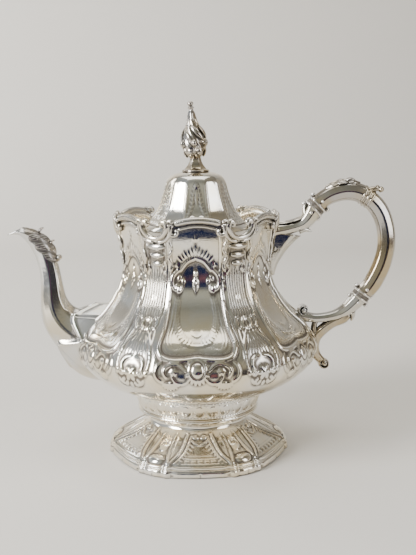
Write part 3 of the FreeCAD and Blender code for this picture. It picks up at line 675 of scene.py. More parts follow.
def crest_feathers(draw):
    """Feathered gadroons behind the crest, a tall leaf over them and a sprig under the rim."""
    middle = 155.0
    for k in range(-8, 9):
        turn = math.radians(11.5 * k)
        base = (math.sin(turn) * 9.0, middle - 0.5 + math.cos(turn) * 8.4)
        reach = 14.6 + 1.2 * (k % 2)
        tip = (math.sin(turn) * reach, middle + math.cos(turn) * reach)
        draw.leaf(base, tip, 1.15, 0.6, vein=0.7)
    draw.leaf((0, 164.0), (0, 172.4), 1.7, 0.7, 3, 0.6)
    for tip in ((0.0, 179.6), (-2.4, 177.6), (2.4, 177.6)):
        draw.leaf((0.0, 175.0), tip, 0.8, 0.35, vein=0.3)


def panel_border(draw, side):
    """The moulded frame of a panel, with fine lines inside it and sweeping lines outside."""
    draw.line(((18.0, 183), (18.2, 170), (18.4, 154), (18.8, 140), (20.4, 126)), 1.1, 0.7, 0.8, side, 50)
    draw.line(((19.6, 131), (22.0, 118.5), (25.0, 109.4), (27.2, 102.6), (24.6, 97.6), (18.0, 95.6),
               (9.0, 95.8), (0.0, 97.0)), 1.7, 1.35, 0.75, side, 80)
    for inset, height in ((3.0, 0.30), (5.2, 0.22)):
        draw.line(((19.4 - inset, 128), (22.0 - inset, 114), (24.2 - inset, 105.4), (21.6 - inset, 101.6),
                   (13.0, 99.8 + inset * 0.4), (0.0, 101.0 + inset * 0.4)), 0.7, height, 0.5, side, 70)
    for step, top in ((2.2, 140), (4.2, 130), (6.0, 121)):
        draw.line(((18.4 + step * 0.5, top), (21.0 + step * 0.8, 119), (25.4 + step, 107),
                   (29.0 + step * 0.7, 98.6), (25.0 + step, 92.6)), 0.7, 0.45, 0.4, side, 60)


def crest_scrolls(draw, side):
    """Half the crest: its arch, its volute and the leaves that spring from it."""
    draw.line(((0.0, 162.4), (5.0, 160.6), (9.0, 156.4), (11.0, 153.4)), 1.2, 1.0, 0.8, side)
    draw.line(((10.0, 154.4), (14.4, 152.0), (17.0, 146.4), (16.0, 141.2), (13.4, 138.6)),
              1.4, 1.1, 0.5, side)
    draw.relief.spiral(*draw.at(side * 12.6, 141.0), 2.7, 1.3, -math.pi / 2, 1.0, 1.2, -side)
    for x, z, size, lean in ((16.0, 150.6, 6.0, 50), (17.6, 146.0, 5.6, 20), (17.4, 142.0, 5.0, -15),
                             (12.0, 154.6, 5.4, 75), (10.8, 150.0, 5.0, -70), (9.0, 147.4, 4.4, -95)):
        turn = math.radians(lean)
        tip = (side * (x + size * math.cos(turn)), z + size * math.sin(turn))
        draw.leaf((side * x, z), tip, 1.3, 0.7, vein=0.6)


def wreath(draw, side):
    """Half the wreath: a stem with leaves on both sides of it."""
    stem = ((12.6, 134.5), (14.0, 127.0), (14.4, 119.0), (12.6, 112.0), (7.6, 107.0), (3.0, 105.6))
    count = 34
    line = smooth(draw.path(stem, side), count)
    draw.relief.ridge(line, 0.5, 0.35, 0.8, count)
    for k in range(2, count - 1, 2):
        ahead = line[min(k + 1, count - 1)] - line[k - 1]
        ahead /= np.hypot(*ahead)
        for turned_side in (-1, 1):
            away = np.array([-ahead[1], ahead[0]]) * turned_side
            draw.relief.leaf(line[k], line[k] + away * 2.7 - ahead * 2.0, 0.8, 0.5, vein=0.7)


def belly_scrolls(draw, side):
    """C scrolls, a flower and a drooping shell beside the boss."""
    for points, width, height in (
            (((8.2, 89.0), (13.0, 93.0), (19.5, 92.6), (23.4, 89.0), (22.0, 84.6)), 1.6, 1.5),
            (((6.4, 82.6), (10.6, 80.0), (15.6, 81.4), (18.0, 85.4)), 1.1, 1.0),
            (((24.6, 95.0), (29.0, 90.0), (28.4, 84.0), (24.0, 80.6)), 1.2, 1.0)):
        draw.line(points, width * 0.85, height * 0.7, 0.45, side)
    draw.flower(side * 16.6, 88.4, 3.2, 6, 0.9)
    droop = [math.radians(-90 + 24 * k) for k in range(-3, 4)]
    draw.fan(side * 18.6, 80.4, droop, (0, 0), (6.4, 6.8), 1.5, 0.7)
    draw.dome(side * 18.6, 80.4, 1.6, 1.6, 1.0)


def panel_middle(draw):
    """The pendant under the crest, and two shallow swags at the foot of the panel."""
    draw.leaf((0, 149.0), (0, 137.0), 2.3, 1.1, 3)
    draw.dome(0, 151.0, 1.5, 1.8, 1.2)
    for z, reach, height in ((104.0, 11.0, 0.6), (109.6, 4.0, 0.4)):
        draw.line(((-reach, z + 2.2), (-reach / 2, z + 0.5), (0, z), (reach / 2, z + 0.5), (reach, z + 2.2)),
                  0.9, height)


def oval_boss(draw):
    """The oval boss in its shell."""
    z = 89.2
    rays = [2 * math.pi * k / 18 for k in range(18)]
    draw.fan(0, z, rays, (5.2, 6.4), (9.2, 10.6), 1.35, 0.7, 0.4)
    draw.ring(0, z, 5.6, 6.8, 0.9, 0.9, 40, 60)
    draw.dome(0, z, 4.6, 5.8, 1.8)


def panel_chasing(relief):
    draw = Chaser(relief, BODY_LINE, BODY_TURN)
    crest_feathers(draw)
    for side in (-1, 1):
        panel_border(draw, side)
        crest_scrolls(draw, side)
        wreath(draw, side)
        belly_scrolls(draw, side)
    panel_middle(draw)
    oval_boss(draw)
    # painted shade along the top of the panel, under the cast rim bars
    rim = float(BODY_LINE.s_of(184.0))
    for x in np.linspace(-18, 18, 13):
        relief.paint_shade(x, rim + 1.5 - (x / 9.0) ** 2, 5.0, 3.4, 0.45)


def pilaster_bow(draw):
    """A ring with a loop and a tail on each side, over the shell's arcs and its string of beads."""
    draw.ring(0, 116.2, 3.4, 4.2, 1.0, 0.9, 32, 50)
    for side in (-1, 1):
        draw.line(((3.4, 117.6), (6.0, 120.2), (8.4, 118.8), (8.2, 115.2), (5.6, 113.4), (3.2, 114.6)),
                  0.8, 0.7, 0.7, side)
        draw.line(((2.6, 112.4), (6.4, 108.6), (10.6, 103.0), (12.6, 96.6)), 1.0, 0.7, 0.4, side)
        for z, x in ((100.0, 11.2), (97.6, 12.4), (95.0, 13.0), (92.2, 13.0), (89.2, 12.4), (86.0, 11.4)):
            draw.dome(side * x, z, 1.5, 1.6, 0.8)
        draw.line(((1.6, 96.6), (6.0, 95.4), (8.6, 91.8), (8.0, 87.4)), 1.4, 1.1, 0.5, side)
        draw.spiral(side * 7.4, 86.0, 2.6, 1.2, 0.95, 1.2, -side)
        draw.line(((3.0, 76.8), (7.0, 77.8), (10.0, 81.0)), 1.1, 1.0, 0.3, side)


def pilaster_chasing(relief):
    """The reeds, bow, ribs and flower of a pilaster."""
    draw = Chaser(relief, BODY_LINE, BODY_TURN)
    for side in (-1, 1):
        draw.line(((8.7, 176), (8.6, 160), (8.2, 145), (8.4, 132), (9.0, 122), (7.0, 116.6)),
                  0.9, 0.6, 0.7, side, 60)
        for z in (168.6, 161.6, 154.6):
            draw.line(((8.2, z + 3.0), (6.2, z + 2.2), (5.4, z), (6.2, z - 2.2), (8.2, z - 3.0)),
                      0.8, 1.0, 0.7, side)
    for x in (-6.4, -4.3, -2.15, 0.0, 2.15, 4.3, 6.4):
        draw.line(((x, 156), (x * 0.96, 145), (x * 0.94, 131), (x * 1.02, 122), (x * 1.4, 110),
                   (x * 1.9, 100)), 0.62, 0.34, 0.6, count=40)
    # painted shade behind the cast bosses
    relief.paint_shade(*draw.at(0, 165.0), 11.0, 13.0, 0.75)
    draw.flower(0, 133.5, 2.3, 5, 0.45)
    pilaster_bow(draw)
    for k in range(-3, 4):
        draw.line(((k * 0.8, 111.6), (k * 2.0, 104.0), (k * 2.6, 97.6)), 0.7, 0.45, 0.35)
    draw.flower(0, 85.4, 6.0, 6, 1.7)
    droop = [math.radians(-90 + 26 * k) for k in range(-2, 3)]
    draw.fan(0, 85.4, droop, (6.0, 6.0), (11.0, 11.5), 1.5, 0.8)


def rim_height(y, narrow):
    """The height of the wavy edge above a point y across a side."""
    if narrow:
        return DIP_CENTRE - np.sqrt(np.maximum(DIP_RADIUS ** 2 - y * y, 0))
    return ARCH_TOP - ARCH_RADIUS + np.sqrt(ARCH_RADIUS ** 2 - y * y)


SIDE_ROWS = 320               # grid rows up the body's chased face, and up its plain inner face
INNER_ROWS = 44
INNER_SHADE = 0.25            # tarnish inside the pot


def body_side(half, cols, chasing, narrow):
    """One side of the body with its chased outer face, its rim and its plain inner face."""
    u = np.linspace(-1, 1, cols)[None]
    across = math.sin(math.radians(half))
    rim_radius = float(BODY_LINE.at(BODY_LINE.s_of(DIP_CENTRE))[1])
    top_s = BODY_LINE.s_of(rim_height(rim_radius * across * u, narrow))
    share = np.linspace(0, 1, SIDE_ROWS)[:, None]
    neck_s = BODY_LINE.s_of(NECK)
    s = share * neck_s + (top_s - neck_s) * np.clip((share - 0.55) / 0.45, 0, 1)
    u = u + 0 * s
    outer = side_surface(BODY_LINE, s, u, half, 0.0)
    reach = BODY_LINE.at(s)[..., 1] * across
    relief = Relief(reach * u, s)
    chasing(relief)
    edge = np.clip((1 - np.abs(u)) * BODY_LINE.at(s)[..., 1] * across / 0.9, 0, 1)
    height = blurred(relief.height, 1) * edge
    # patina in the chasing's hollows, together with the painted shade under the rim and behind the bosses
    recess = np.maximum(recess_of(height), relief.painted_shade)
    outer = outer + normals_of(outer) * height[..., None]
    inner_s = s[np.linspace(SIDE_ROWS - 1, 0, INNER_ROWS).astype(int)]
    inner = side_surface(BODY_LINE, inner_s, u[:INNER_ROWS], half, 0.0, WALL)
    shade = np.concatenate([recess, np.full((INNER_ROWS, cols), INNER_SHADE)])
    return np.concatenate([outer, inner]), shade


def turned_grid(grid, degrees):
    """The grid turned about the pot's axis."""
    turn = math.radians(degrees)
    spin = np.array([[math.cos(turn), -math.sin(turn), 0], [math.sin(turn), math.cos(turn), 0], [0, 0, 1]])
    return grid @ spin.T


PANEL_GRID, PANEL_SHADE = body_side(WIDE, 216, panel_chasing, False)
PILASTER_GRID, PILASTER_SHADE = body_side(NARROW, 84, pilaster_chasing, True)
for k in range(SIDES):
    panel = Shape()
    panel.grid(turned_grid(PANEL_GRID, STEP * k + STEP / 2), recess=PANEL_SHADE)
    panel.build("body_panel_%d" % k, "pot", "silver", SILVER, ("body_shell",))
    pilaster = Shape()
    pilaster.grid(turned_grid(PILASTER_GRID, STEP * k), recess=PILASTER_SHADE)
    pilaster.build("body_pilaster_%d" % k, "pot", "silver", SILVER, ("body_shell",))


def wall_point(y, z, centre, half, proud):
    """A point on the body's side at y across and z up, standing proud of it."""
    row = BODY_LINE.at(BODY_LINE.s_of(z))
    reach = row[1] * math.sin(math.radians(half))
    flat = row[1] * math.cos(math.radians(half))
    u = np.clip(y / reach, -1.25, 1.25)
    out = flat + (row[1] - flat) * max(row[2], 0.02) * (1 - u * u) + proud
    turn = math.radians(centre)
    return (out * math.cos(turn) - y * math.sin(turn), out * math.sin(turn) + y * math.cos(turn), z)


def wall_path(points, centre, half, proud, count):
    """A smooth path laid on the body's side through (across, up) points."""
    fine = smooth(points, count)
    return np.array([wall_point(y, z, centre, half, proud) for y, z in fine])


def curl(x, z, radius, turns, start, sense, count):
    """A flat spiral in (y, z), from its rim in to its eye."""
    t = np.linspace(0, 1, count)
    reach = radius * (1 - 0.86 * t)
    turn = start + sense * 2 * math.pi * turns * t
    return [(x + r * math.cos(a), z + r * math.sin(a)) for r, a in zip(reach, turn)]


def outward(path):
    """The directions straight away from the pot's axis along a path."""
    flat = np.array(path) * (1, 1, 0)
    return flat / np.linalg.norm(flat, axis=1, keepdims=True)


def bar(shape, path, radius, lift=1.0, ripple=0.0, waves=0):
    """A cast bar with rounded ends on the body's side, rippled along it if asked."""
    t = np.linspace(0, 1, len(path))
    ends = np.clip(np.minimum(t, 1 - t) * 14, 0.15, 1) ** 0.5
    size = radius * ends * (1 + ripple * np.abs(np.sin(np.pi * waves * t)))
    tube(shape, path, size, size * lift, up=outward(path), sides=12)


gallery = Shape()
volutes = Shape()
bosses = Shape()
for k in range(SIDES):
    centre = STEP * k + STEP / 2
    ys = np.linspace(-17.6, 17.6, 25)
    arch = [(y, float(rim_height(np.array(y), False)) - 0.9) for y in ys]
    bar(gallery, wall_path(arch, centre, WIDE, 0.9, 120), 2.25, 1.0, ripple=0.10, waves=30)
    lower = [(y * 0.84, z - 4.2) for y, z in arch]
    bar(gallery, wall_path(lower, centre, WIDE, 0.4, 90), 1.15, 1.0)
    for side in (-1, 1):
        bracket = mirrored(((17.0, 187.2), (19.4, 184.6), (19.6, 181.4), (17.6, 179.4), (15.2, 180.4),
                            (15.2, 182.6), (16.8, 183.0)), side)
        bar(volutes, wall_path(bracket, centre, WIDE, 1.2, 60), 1.6, 1.2)
        stem = mirrored(((19.8, 181.0), (20.4, 174.0), (18.6, 168.6), (20.6, 163.4), (18.8, 158.0),
                         (19.8, 152.0)), side)
        bar(volutes, wall_path(stem, centre, WIDE, 0.5, 60), 1.15, 0.9, ripple=0.25, waves=5)
    centre = STEP * k
    turn = np.linspace(math.radians(200), math.radians(340), 25)
    outer_dip = DIP_RADIUS + 0.9
    dip = [(outer_dip * math.cos(a), DIP_CENTRE + outer_dip * math.sin(a)) for a in turn]
    left = curl(-7.4, 186.8, 2.9, 0.9, math.pi, -1, 14)[::-1]
    right = curl(7.4, 186.8, 2.9, 0.9, 0.0, 1, 14)
    bar(gallery, wall_path(left + dip[3:-3] + right, centre, NARROW, 1.5, 120), 2.2, 1.0)
    for side in (-1, 1):
        rod = mirrored(((12.6, 189.0), (12.8, 184.0), (10.8, 178.4), (6.6, 175.2), (1.2, 174.4)), side)
        bar(gallery, wall_path(rod, centre, NARROW, 0.9, 44), 1.6, 1.0)
        knob = curl(side * 12.4, 188.0, 2.6, 1.0, 0.0 if side > 0 else math.pi, side, 16)
        bar(volutes, wall_path(knob, centre, NARROW, 1.6, 50), 1.2, 1.3)
    if k:                     # the first pilaster carries the handle instead
        for z, half_width, size in ((170.6, 7.8, 2.7), (164.2, 6.4, 2.5), (158.2, 4.8, 2.4)):
            ys = np.linspace(-half_width, half_width, 27)
            path = [wall_point(y, z + 0.6 * (y / half_width) ** 2, centre, NARROW, 0.3) for y in ys]
            swell = np.sqrt(np.clip(1 - (ys / half_width) ** 2, 0.0, 1))
            depth = size * 0.95 * swell + 0.1
            tube(bosses, path, size * swell + 0.1, depth, up=outward(path), sides=18)
        drop = [wall_point(0, z, centre, NARROW, 0.2) for z in np.linspace(157.4, 152.6, 9)]
        width, depth = np.linspace(1.7, 0.1, 9), np.linspace(1.4, 0.1, 9)
        tube(bosses, drop, width, depth, up=outward(drop), sides=14)
gallery.build("rim_moulding", "pot", "cast_silver", CAST, ("rim_gallery",))
volutes.build("rim_volutes", "pot", "cast_silver", CAST, ("rim_scrolls",))
bosses.build("pilaster_bosses", "pot", "cast_silver", CAST, ("pilaster_drops",))


# -------------------------------------------------------------------------------------------------- foot
def foot_wide(relief):
    """Two straps that part from a knot, leaves along them, and a row of flowers between two lines."""
    draw = Chaser(relief, FOOT_LINE)
    for side in (-1, 1):
        draw.line(((8.6, 24.4), (11.8, 19.0), (16.6, 14.0), (23.6, 9.4)), 1.25, 1.1, 0.75, side)
        draw.line(((5.8, 23.4), (8.8, 18.4), (13.4, 13.6), (20.0, 9.4)), 0.9, 0.8, 0.7, side)
        draw.spiral(side * 2.7, 22.6, 2.3, 1.2, 0.8, 1.0, -side)
        draw.line(((0.4, 18.6), (3.4, 19.4), (6.2, 21.4)), 0.8, 0.8, 0.5, side)
        for k in range(7):
            x, z = 7.2 + 1.9 * k, 19.6 - 1.5 * k
            draw.leaf((side * x, z), (side * (x - 2.4), z - 1.9), 0.9, 0.45, vein=0.6)
    for x in np.arange(-15, 15.1, 5.0):
        draw.flower(x, 10.9, 1.9, 5, 0.5)
    draw.line(((-19, 9.5), (0, 9.3), (19, 9.5)), 0.6, 0.45, 0.8)
    draw.line(((-15.5, 12.7), (0, 12.4), (15.5, 12.7)), 0.45, 0.35, 0.8)


def foot_narrow(relief):
    """Two rounded lumps between reeds."""
    draw = Chaser(relief, FOOT_LINE)
    draw.dome(0, 11.2, 7.0, 4.2, 1.9)
    draw.dome(0, 17.0, 3.4, 4.4, 0.8)
    for side in (-1, 1):
        draw.line(((4.9, 24.0), (6.0, 18.0), (7.6, 14.0), (9.6, 10.0)), 0.9, 0.8, 0.8, side)
        draw.line(((1.6, 22.0), (3.4, 17.6), (2.6, 15.0)), 0.6, 0.4, 0.4, side)


def serpentine(u, width):
    """How far the foot's edge stands out across a side: bowed on wide sides, two steps on narrow ones."""
    if width > STEP / 4:
        return 1.5 * np.cos(np.pi * u / 2) ** 2 - 0.9 * np.exp(-((np.abs(u) - 0.86) / 0.10) ** 2)
    return 0.9 * np.cos(np.pi * u / 2) - 0.9 * np.exp(-((np.abs(u) - 0.62) / 0.14) ** 2)


def rows_of_sides(outline, rows, wide_cols, narrow_cols, wide, narrow, half=WIDE, wall=0.0, depth=0.45,
                  bow=None):
    """A whole ring of wide and narrow sides as one grid, with its shade."""
    grids, shades = [], []
    for middle, width, cols, chasing in (
            (0.0, STEP / 2 - half, narrow_cols, narrow),
            (STEP / 2, half, wide_cols, wide)):
        u = np.linspace(-1, 1, cols + 1)[None]
        s = np.linspace(0, outline.length, rows)[:, None] + 0 * u
        u = u + 0 * s
        grid = side_surface(outline, s, u, width, middle, wall)
        if bow is not None:
            out = serpentine(u, width) * bow(grid[..., 2])
            grid = grid + normals_of(grid) * (1, 1, 0) * out[..., None]
        shade = np.zeros(s.shape)
        if chasing is not None:
            reach = outline.at(s)[..., 1] * math.sin(math.radians(width))
            relief = Relief(reach * u, s)
            chasing(relief)
            height = blurred(relief.height, 1) * np.clip((1 - np.abs(u)) * reach / 0.6, 0, 1)
            shade = recess_of(height, 4, depth)
            grid = grid + normals_of(grid) * height[..., None]
        grids.append(grid[:, :-1])
        shades.append(shade[:, :-1])
    whole = [turned_grid(g, STEP * k) for k in range(SIDES) for g in grids]
    return np.concatenate(whole, axis=1), np.concatenate(shades * SIDES, axis=1)


def foot_bow(z):
    """How much of the bow a height on the foot has: all of it low down, none above the slope's middle."""
    return np.clip((15.5 - z) / 7.0, 0, 1)


grid, shade = rows_of_sides(FOOT_LINE, 110, 84, 38, foot_wide, foot_narrow, bow=foot_bow)
inside, inside_shade = rows_of_sides(FOOT_LINE, 24, 84, 38, None, None, wall=1.0, bow=foot_bow)
skirt = Shape()
skirt.grid(np.concatenate([inside[::-1], grid]), wrap=True,
           recess=np.concatenate([inside_shade + 0.4, shade]))
skirt.build("foot_chased", "pot", "silver", SILVER, ("foot_skirt",))


def band_notches(relief):
    """Upright cuts and dots on the foot's band, and a line round the top of it."""
    for x in np.arange(-22.0, 22.1, 22.0):
        relief.groove(((x, 1.2), (x, 4.4)), 0.5, 0.5)
    relief.groove(((-40, 5.6), (40, 5.6)), 0.6, 0.35)
    for x in (-20.4, 20.4):
        relief.dent(x, 2.8, 0.9, 0.4)


BAND_LINE = Outline([(z, radius, 0.0) for z, radius, _ in BAND])
grid, shade = rows_of_sides(BAND_LINE, 34, 96, 44, band_notches, band_notches, bow=foot_bow)
low, low_shade = rows_of_sides(BAND_LINE, 8, 96, 44, None, None, wall=3.0, bow=foot_bow)
border = Shape()
border.grid(np.concatenate([low[::-1], grid]), wrap=True, recess=np.concatenate([low_shade + 0.3, shade]))
border.build("foot_band", "pot", "silver", SILVER, ("foot_border",))


def collar_pattern(radius, height, turn):
    """Ovals between uprights, with a beaded line above and below."""
    across = (height - 44.6) / 4.6
    phase = (turn * 30 / (2 * math.pi)) % 1.0 - 0.5
    oval = np.clip(1 - (phase / 0.36) ** 2 - across ** 2, 0, 1)
    upright = np.clip(1 - ((np.abs(phase) - 0.5) / 0.07) ** 2, 0, 1) * (np.abs(across) < 1.05)
    beads = np.abs(np.sin(turn * 60)) * np.clip(1 - ((np.abs(across) - 1.28) / 0.16) ** 2, 0, 1)
    return radius + 0.75 * np.sqrt(oval) + 0.5 * upright + 0.45 * np.sqrt(beads)


def rope_twist(radius, height, turn):
    """Slanting cuts round the outside of the bead."""
    return radius + 0.22 * np.abs(np.sin(turn * 54 + (height - 35.6) * 0.9)) * (radius > 45.5)


collar = Shape()
lathe(collar, [(r, z) for z, r in COLLAR], 46, cols=900, squash=collar_pattern)
collar.build("collar_chased", "pot", "silver", SILVER, ("foot_collar",))
bead = Shape()
lathe(bead, [(r, z) for z, r in BEAD], 26, cols=360, squash=rope_twist)
bead.build("bead_wire", "pot", "silver", SILVER, ("foot_bead",))


# --------------------------------------------------------------------------------------------------- lid
LID_EDGE_LINE = ((-10, 182.6), (0, 182.3), (10, 182.6))
LID_HALF = 16.6               # half the angle of a wide side of the lid


def lid_wide(relief):
    """Strapwork: two leafy straps that part from a knot, over a row of small domes."""
    draw = Chaser(relief, LID_LINE)
    for side in (-1, 1):
        strap = ((0.6, 211), (2.2, 206), (3.0, 200), (4.8, 194), (7.4, 188.6))
        draw.line(strap, 0.6, 0.3, 0.7, side)
        line = smooth(draw.path(strap, side), 16)
        for k in range(1, 15, 2):
            for turned_side in (-1, 1):
                tip = line[k] + np.array([turned_side * 1.9, 1.5])
                relief.leaf(line[k], tip, 0.7, 0.28)
        draw.line(((6.2, 213), (7.1, 204), (8.2, 194), (9.8, 186)), 0.5, 0.25, 0.9, side)
        draw.line(((0.6, 187), (3.6, 189.6), (6.4, 187.2)), 0.6, 0.5, 0.4, side)
    draw.flower(0, 212.0, 2.2, 6, 0.6)
    for x in (-6.8, -3.4, 0, 3.4, 6.8):
        draw.dome(x, 184.6, 1.3, 1.0, 0.45)
    draw.groove(LID_EDGE_LINE, 0.6, 0.4)
    draw.leaf((0, 209.6), (0, 198.0), 1.2, 0.45)


def lid_narrow(relief):
    """Two plain lines and the groove along the edge."""
    draw = Chaser(relief, LID_LINE)
    for side in (-1, 1):
        draw.line(((4.6, 214), (5.5, 202), (6.6, 191), (7.8, 184)), 0.5, 0.22, 0.9, side)
    draw.groove(LID_EDGE_LINE, 0.6, 0.4)


grid, shade = rows_of_sides(LID_LINE, 150, 56, 44, lid_wide, lid_narrow, half=LID_HALF, depth=0.3)
inside, inside_shade = rows_of_sides(LID_LINE, 26, 56, 44, None, None, half=LID_HALF, wall=0.9)
bell = Shape()
bell.grid(np.concatenate([inside[::-1], grid]), wrap=True,
          recess=np.concatenate([inside_shade + 0.3, shade]))
bell.build("lid_bell", "lid", "silver", SILVER, ("lid_shell",))

# ------------------------------------------------------------------------------------------------ finial
LEAN = math.radians(-4.8)     # the finial's stem is bent a little
PIVOT = 232.0                 # height of the bend


def leant(points):
    """Points of the finial, leant over with its bent stem."""
    points = np.asarray(points, float)
    x, z = points[..., 0], points[..., 2] - PIVOT
    out = points.copy()
    out[..., 0] = x * math.cos(LEAN) + z * math.sin(LEAN)
    out[..., 2] = -x * math.sin(LEAN) + z * math.cos(LEAN) + PIVOT
    return out


def around_axis(turn, radius, z):
    return (radius * math.cos(turn), radius * math.sin(turn), z)


base = Shape()
disc = ((6.0, 221.6), (9.2, 221.5), (10.4, 222.0), (10.5, 222.7), (9.8, 223.3), (8.6, 223.5), (7.6, 224.3),
        (6.2, 226.0), (5.0, 228.2), (4.2, 230.6), (3.9, 232.4))


def stem_facets(radius, z, turn):
    """A round disc below and a hexagonal stem above it."""
    local = (turn % math.radians(STEP)) - math.radians(STEP / 2)
    facet = math.cos(math.radians(STEP / 2)) / np.cos(local)
    share = np.clip((z - 223.2) / 1.2, 0, 1)
    return radius * (1 - share + share * facet * 1.06)


lathe(base, disc, 60, cols=144, squash=stem_facets)
base.build("finial_foot", "lid", "cast_silver", AGED, ("finial_base",))

bud = Shape()
bulb = ((3.7, 231.6), (5.4, 233.6), (7.6, 236.8), (8.8, 241.0), (8.4, 246.0), (6.6, 252.0), (4.9, 257.5),
        (3.6, 261.6))


def bud_leaves(radius, z, turn):
    """Six twisting leaves with fine veins."""
    swirl = turn + (z - 232.0) * 0.075
    lobe = np.abs(np.sin(3 * swirl))
    fine = np.abs(np.sin(12 * swirl))
    return radius * (0.86 + 0.17 * lobe ** 0.7 + 0.035 * fine)


rows = smooth(bulb, 70)
turns = np.linspace(0, 2 * math.pi, 150, endpoint=False)[None]
radius = bud_leaves(rows[:, :1] + 0 * turns, rows[:, 1:] + 0 * turns, turns)
grid = np.stack([radius * np.cos(turns), radius * np.sin(turns), rows[:, 1:] + 0 * turns], axis=-1)
dark = np.clip((0.97 - radius / rows[:, :1]) * 6, 0, 1)
bud.grid(leant(grid), wrap=True, recess=dark, caps=True)
for k in range(SIDES):
    start = math.radians(STEP * k + STEP / 2)
    away = np.array([math.cos(start), math.sin(start), 0.0])
    t = np.linspace(0, 1, 40)
    climb = [around_axis(start - 1.25 + 1.25 * a, 4.6 + 4.6 * math.sin(math.pi * a * 0.62), 257.0 - 13.0 * a)
             for a in t]
    tube(bud, leant(climb), 1.5 * np.sin(np.pi * (0.15 + 0.8 * t)) + 0.2, 0.9, up=outward(climb), sides=12)
    ball(bud, leant(around_axis(start, 8.9, 243.4)), 2.3)
    hook = [around_axis(start, 8.6 + 2.6 * math.sin(a), 243.4 + 2.6 * math.cos(a))
            for a in np.linspace(-0.4, 3.6, 22)]
    tube(bud, leant(hook), np.linspace(1.7, 0.9, 22), 0.7, up=away, sides=10)
    between = start + math.radians(STEP / 2)
    lobe = smooth([around_axis(between, r, z)
                   for r, z in ((7.4, 241.0), (8.2, 237.6), (7.2, 234.6), (5.8, 233.0))], 20)
    tube(bud, leant(lobe), 2.3 * np.sin(np.linspace(0.5, 3.0, 20)) + 0.1, 0.8, up=outward(lobe), sides=12)
bud.build("finial_leaves", "lid", "cast_silver", AGED, ("finial_bud",))

spire = Shape()
rows = smooth(((3.9, 260.6), (3.1, 263.4), (2.4, 266.6), (1.9, 269.4), (2.6, 270.3), (1.5, 271.3),
               (1.5, 271.7), (2.3, 272.8), (1.9, 274.4), (0.2, 275.0)), 60)
turns = np.linspace(0, 2 * math.pi, 48, endpoint=False)[None]
heights = rows[:, 1:] + 0 * turns
radius = rows[:, :1] * (1 + 0.09 * np.cos(4 * turns) * np.clip((269.6 - heights) / 3, 0, 1))
grid = np.stack([radius * np.cos(turns), radius * np.sin(turns), heights], axis=-1)
dark = np.clip(1 - np.abs(heights - 271.5) / 0.7, 0, 1)
spire.grid(leant(grid), wrap=True, recess=dark, caps=True)
spire.build("finial_point", "lid", "cast_silver", AGED, ("finial_spire",))

# ------------------------------------------------------------------------------------------------- spout
OCTAGON = facet_profile(8, 9, 0.035)
STRAP = facet_profile(6, 9, 0.06)


def sweep(shape, sections, count, profile=OCTAGON):
    """A solid bar of a faceted section."""
    shape.grid(sections_grid(sections, count, profile), wrap=True, caps=True, flip=True)


def outside_body(grid):
    """Moves what lies inside the body out into the thickness of its wall."""
    heights, radii = np.array(BODY)[:, 0], np.array(BODY)[:, 1]
    wall = np.interp(grid[..., 2], heights, radii) * math.cos(math.radians(NARROW)) - 0.5
    away = np.hypot(grid[..., 0], grid[..., 1])
    return grid * (np.maximum(wall / away, 1)[..., None] * (1, 1, 0) + (0, 0, 1))


spout = Shape()
outer = outside_body(sections_grid(SPOUT, 170, OCTAGON))
inner = sections_grid(SPOUT, 170, OCTAGON, 1.0)[:79:-1]
dark = np.concatenate([np.zeros(outer.shape[:2]), np.full(inner.shape[:2], 0.8)])
spout.grid(np.concatenate([outer, inner]), wrap=True, recess=dark, flip=True)
spout.build("spout_tube", "pot", "silver", WORN, ("spout_shell",))


def acanthus(shape, spine, widths, proud, lobes, up):
    """A lobed leaf laid along a spine: its veins and midrib stand up and its edges turn down."""
    spine = np.asarray(spine, float)
    count = len(spine)
    t = np.linspace(0, 1, count)[:, None]
    along = np.gradient(spine, axis=0)
    along /= np.linalg.norm(along, axis=1, keepdims=True)
    across = np.cross(along, np.broadcast_to(np.asarray(up, float), (count, 3)))
    across /= np.linalg.norm(across, axis=1, keepdims=True)
    lift = np.cross(across, along)
    v = np.linspace(-1, 1, 33)[None]
    lobe = 0.74 + 0.26 * np.abs(np.sin(np.pi * (t * lobes))) ** 0.7
    width = np.asarray(widths)[:, None] * (1 - (1 - lobe) * np.abs(v) ** 1.5)
    veins = 0.5 + 0.5 * np.cos(2 * np.pi * (t * lobes - np.abs(v) * 0.7))
    rib = np.exp(-(v / 0.12) ** 2)
    crown = np.sqrt(np.clip(1 - v ** 2, 0, 1)) ** 0.4
    height = proud * (0.55 + 0.45 * veins * np.abs(v) ** 0.5 + 0.5 * rib) * crown
    height = height - 0.5 * proud * np.abs(v) ** 3
    flat = spine[:, None] + across[:, None] * (width * v)[..., None]
    top = flat + lift[:, None] * height[..., None]
    bottom = flat - lift[:, None] * 0.35
    dark = np.clip((1 - veins) * 0.6 * np.abs(v) ** 0.4 - rib * 0.4, 0, 1)
    shape.grid(np.concatenate([top, bottom[:, ::-1]], axis=1), wrap=True, caps=True, flip=True,
               recess=np.concatenate([dark, 0 * dark + 0.3], axis=1))


leaf = Shape()
frame_rows = sections_grid(SPOUT, 400, np.array([[1.0, 0.0], [0.0, 1.0], [-1.0, 0.0]]))
middle = (frame_rows[:, 0] + frame_rows[:, 2]) / 2
leaf_start = np.interp(151.8, middle[:, 2], np.arange(400))
leaf_rows = np.linspace(leaf_start, 392, 130).astype(int)
middle = middle[leaf_rows][:, None]
reach = frame_rows[leaf_rows, 0][:, None] - middle
breadth = frame_rows[leaf_rows, 1][:, None] - middle
t = np.linspace(0, 1, 130)[:, None]
v = np.linspace(-1, 1, 81)[None]
scallop = 0.88 + 0.12 * np.abs(np.sin(np.pi * (4 * t + 0.1)))
spread = 2.05 * np.sin(np.pi * (0.06 + 0.88 * t)) ** 0.55 * scallop
turn = math.pi + v * spread
veins = 0.5 + 0.5 * np.cos(2 * np.pi * (4 * t - 0.9 * np.abs(v)))
rib = np.exp(-(v / 0.16) ** 2) * np.abs(np.sin(np.pi * (3.5 * t + 0.4))) ** 0.5
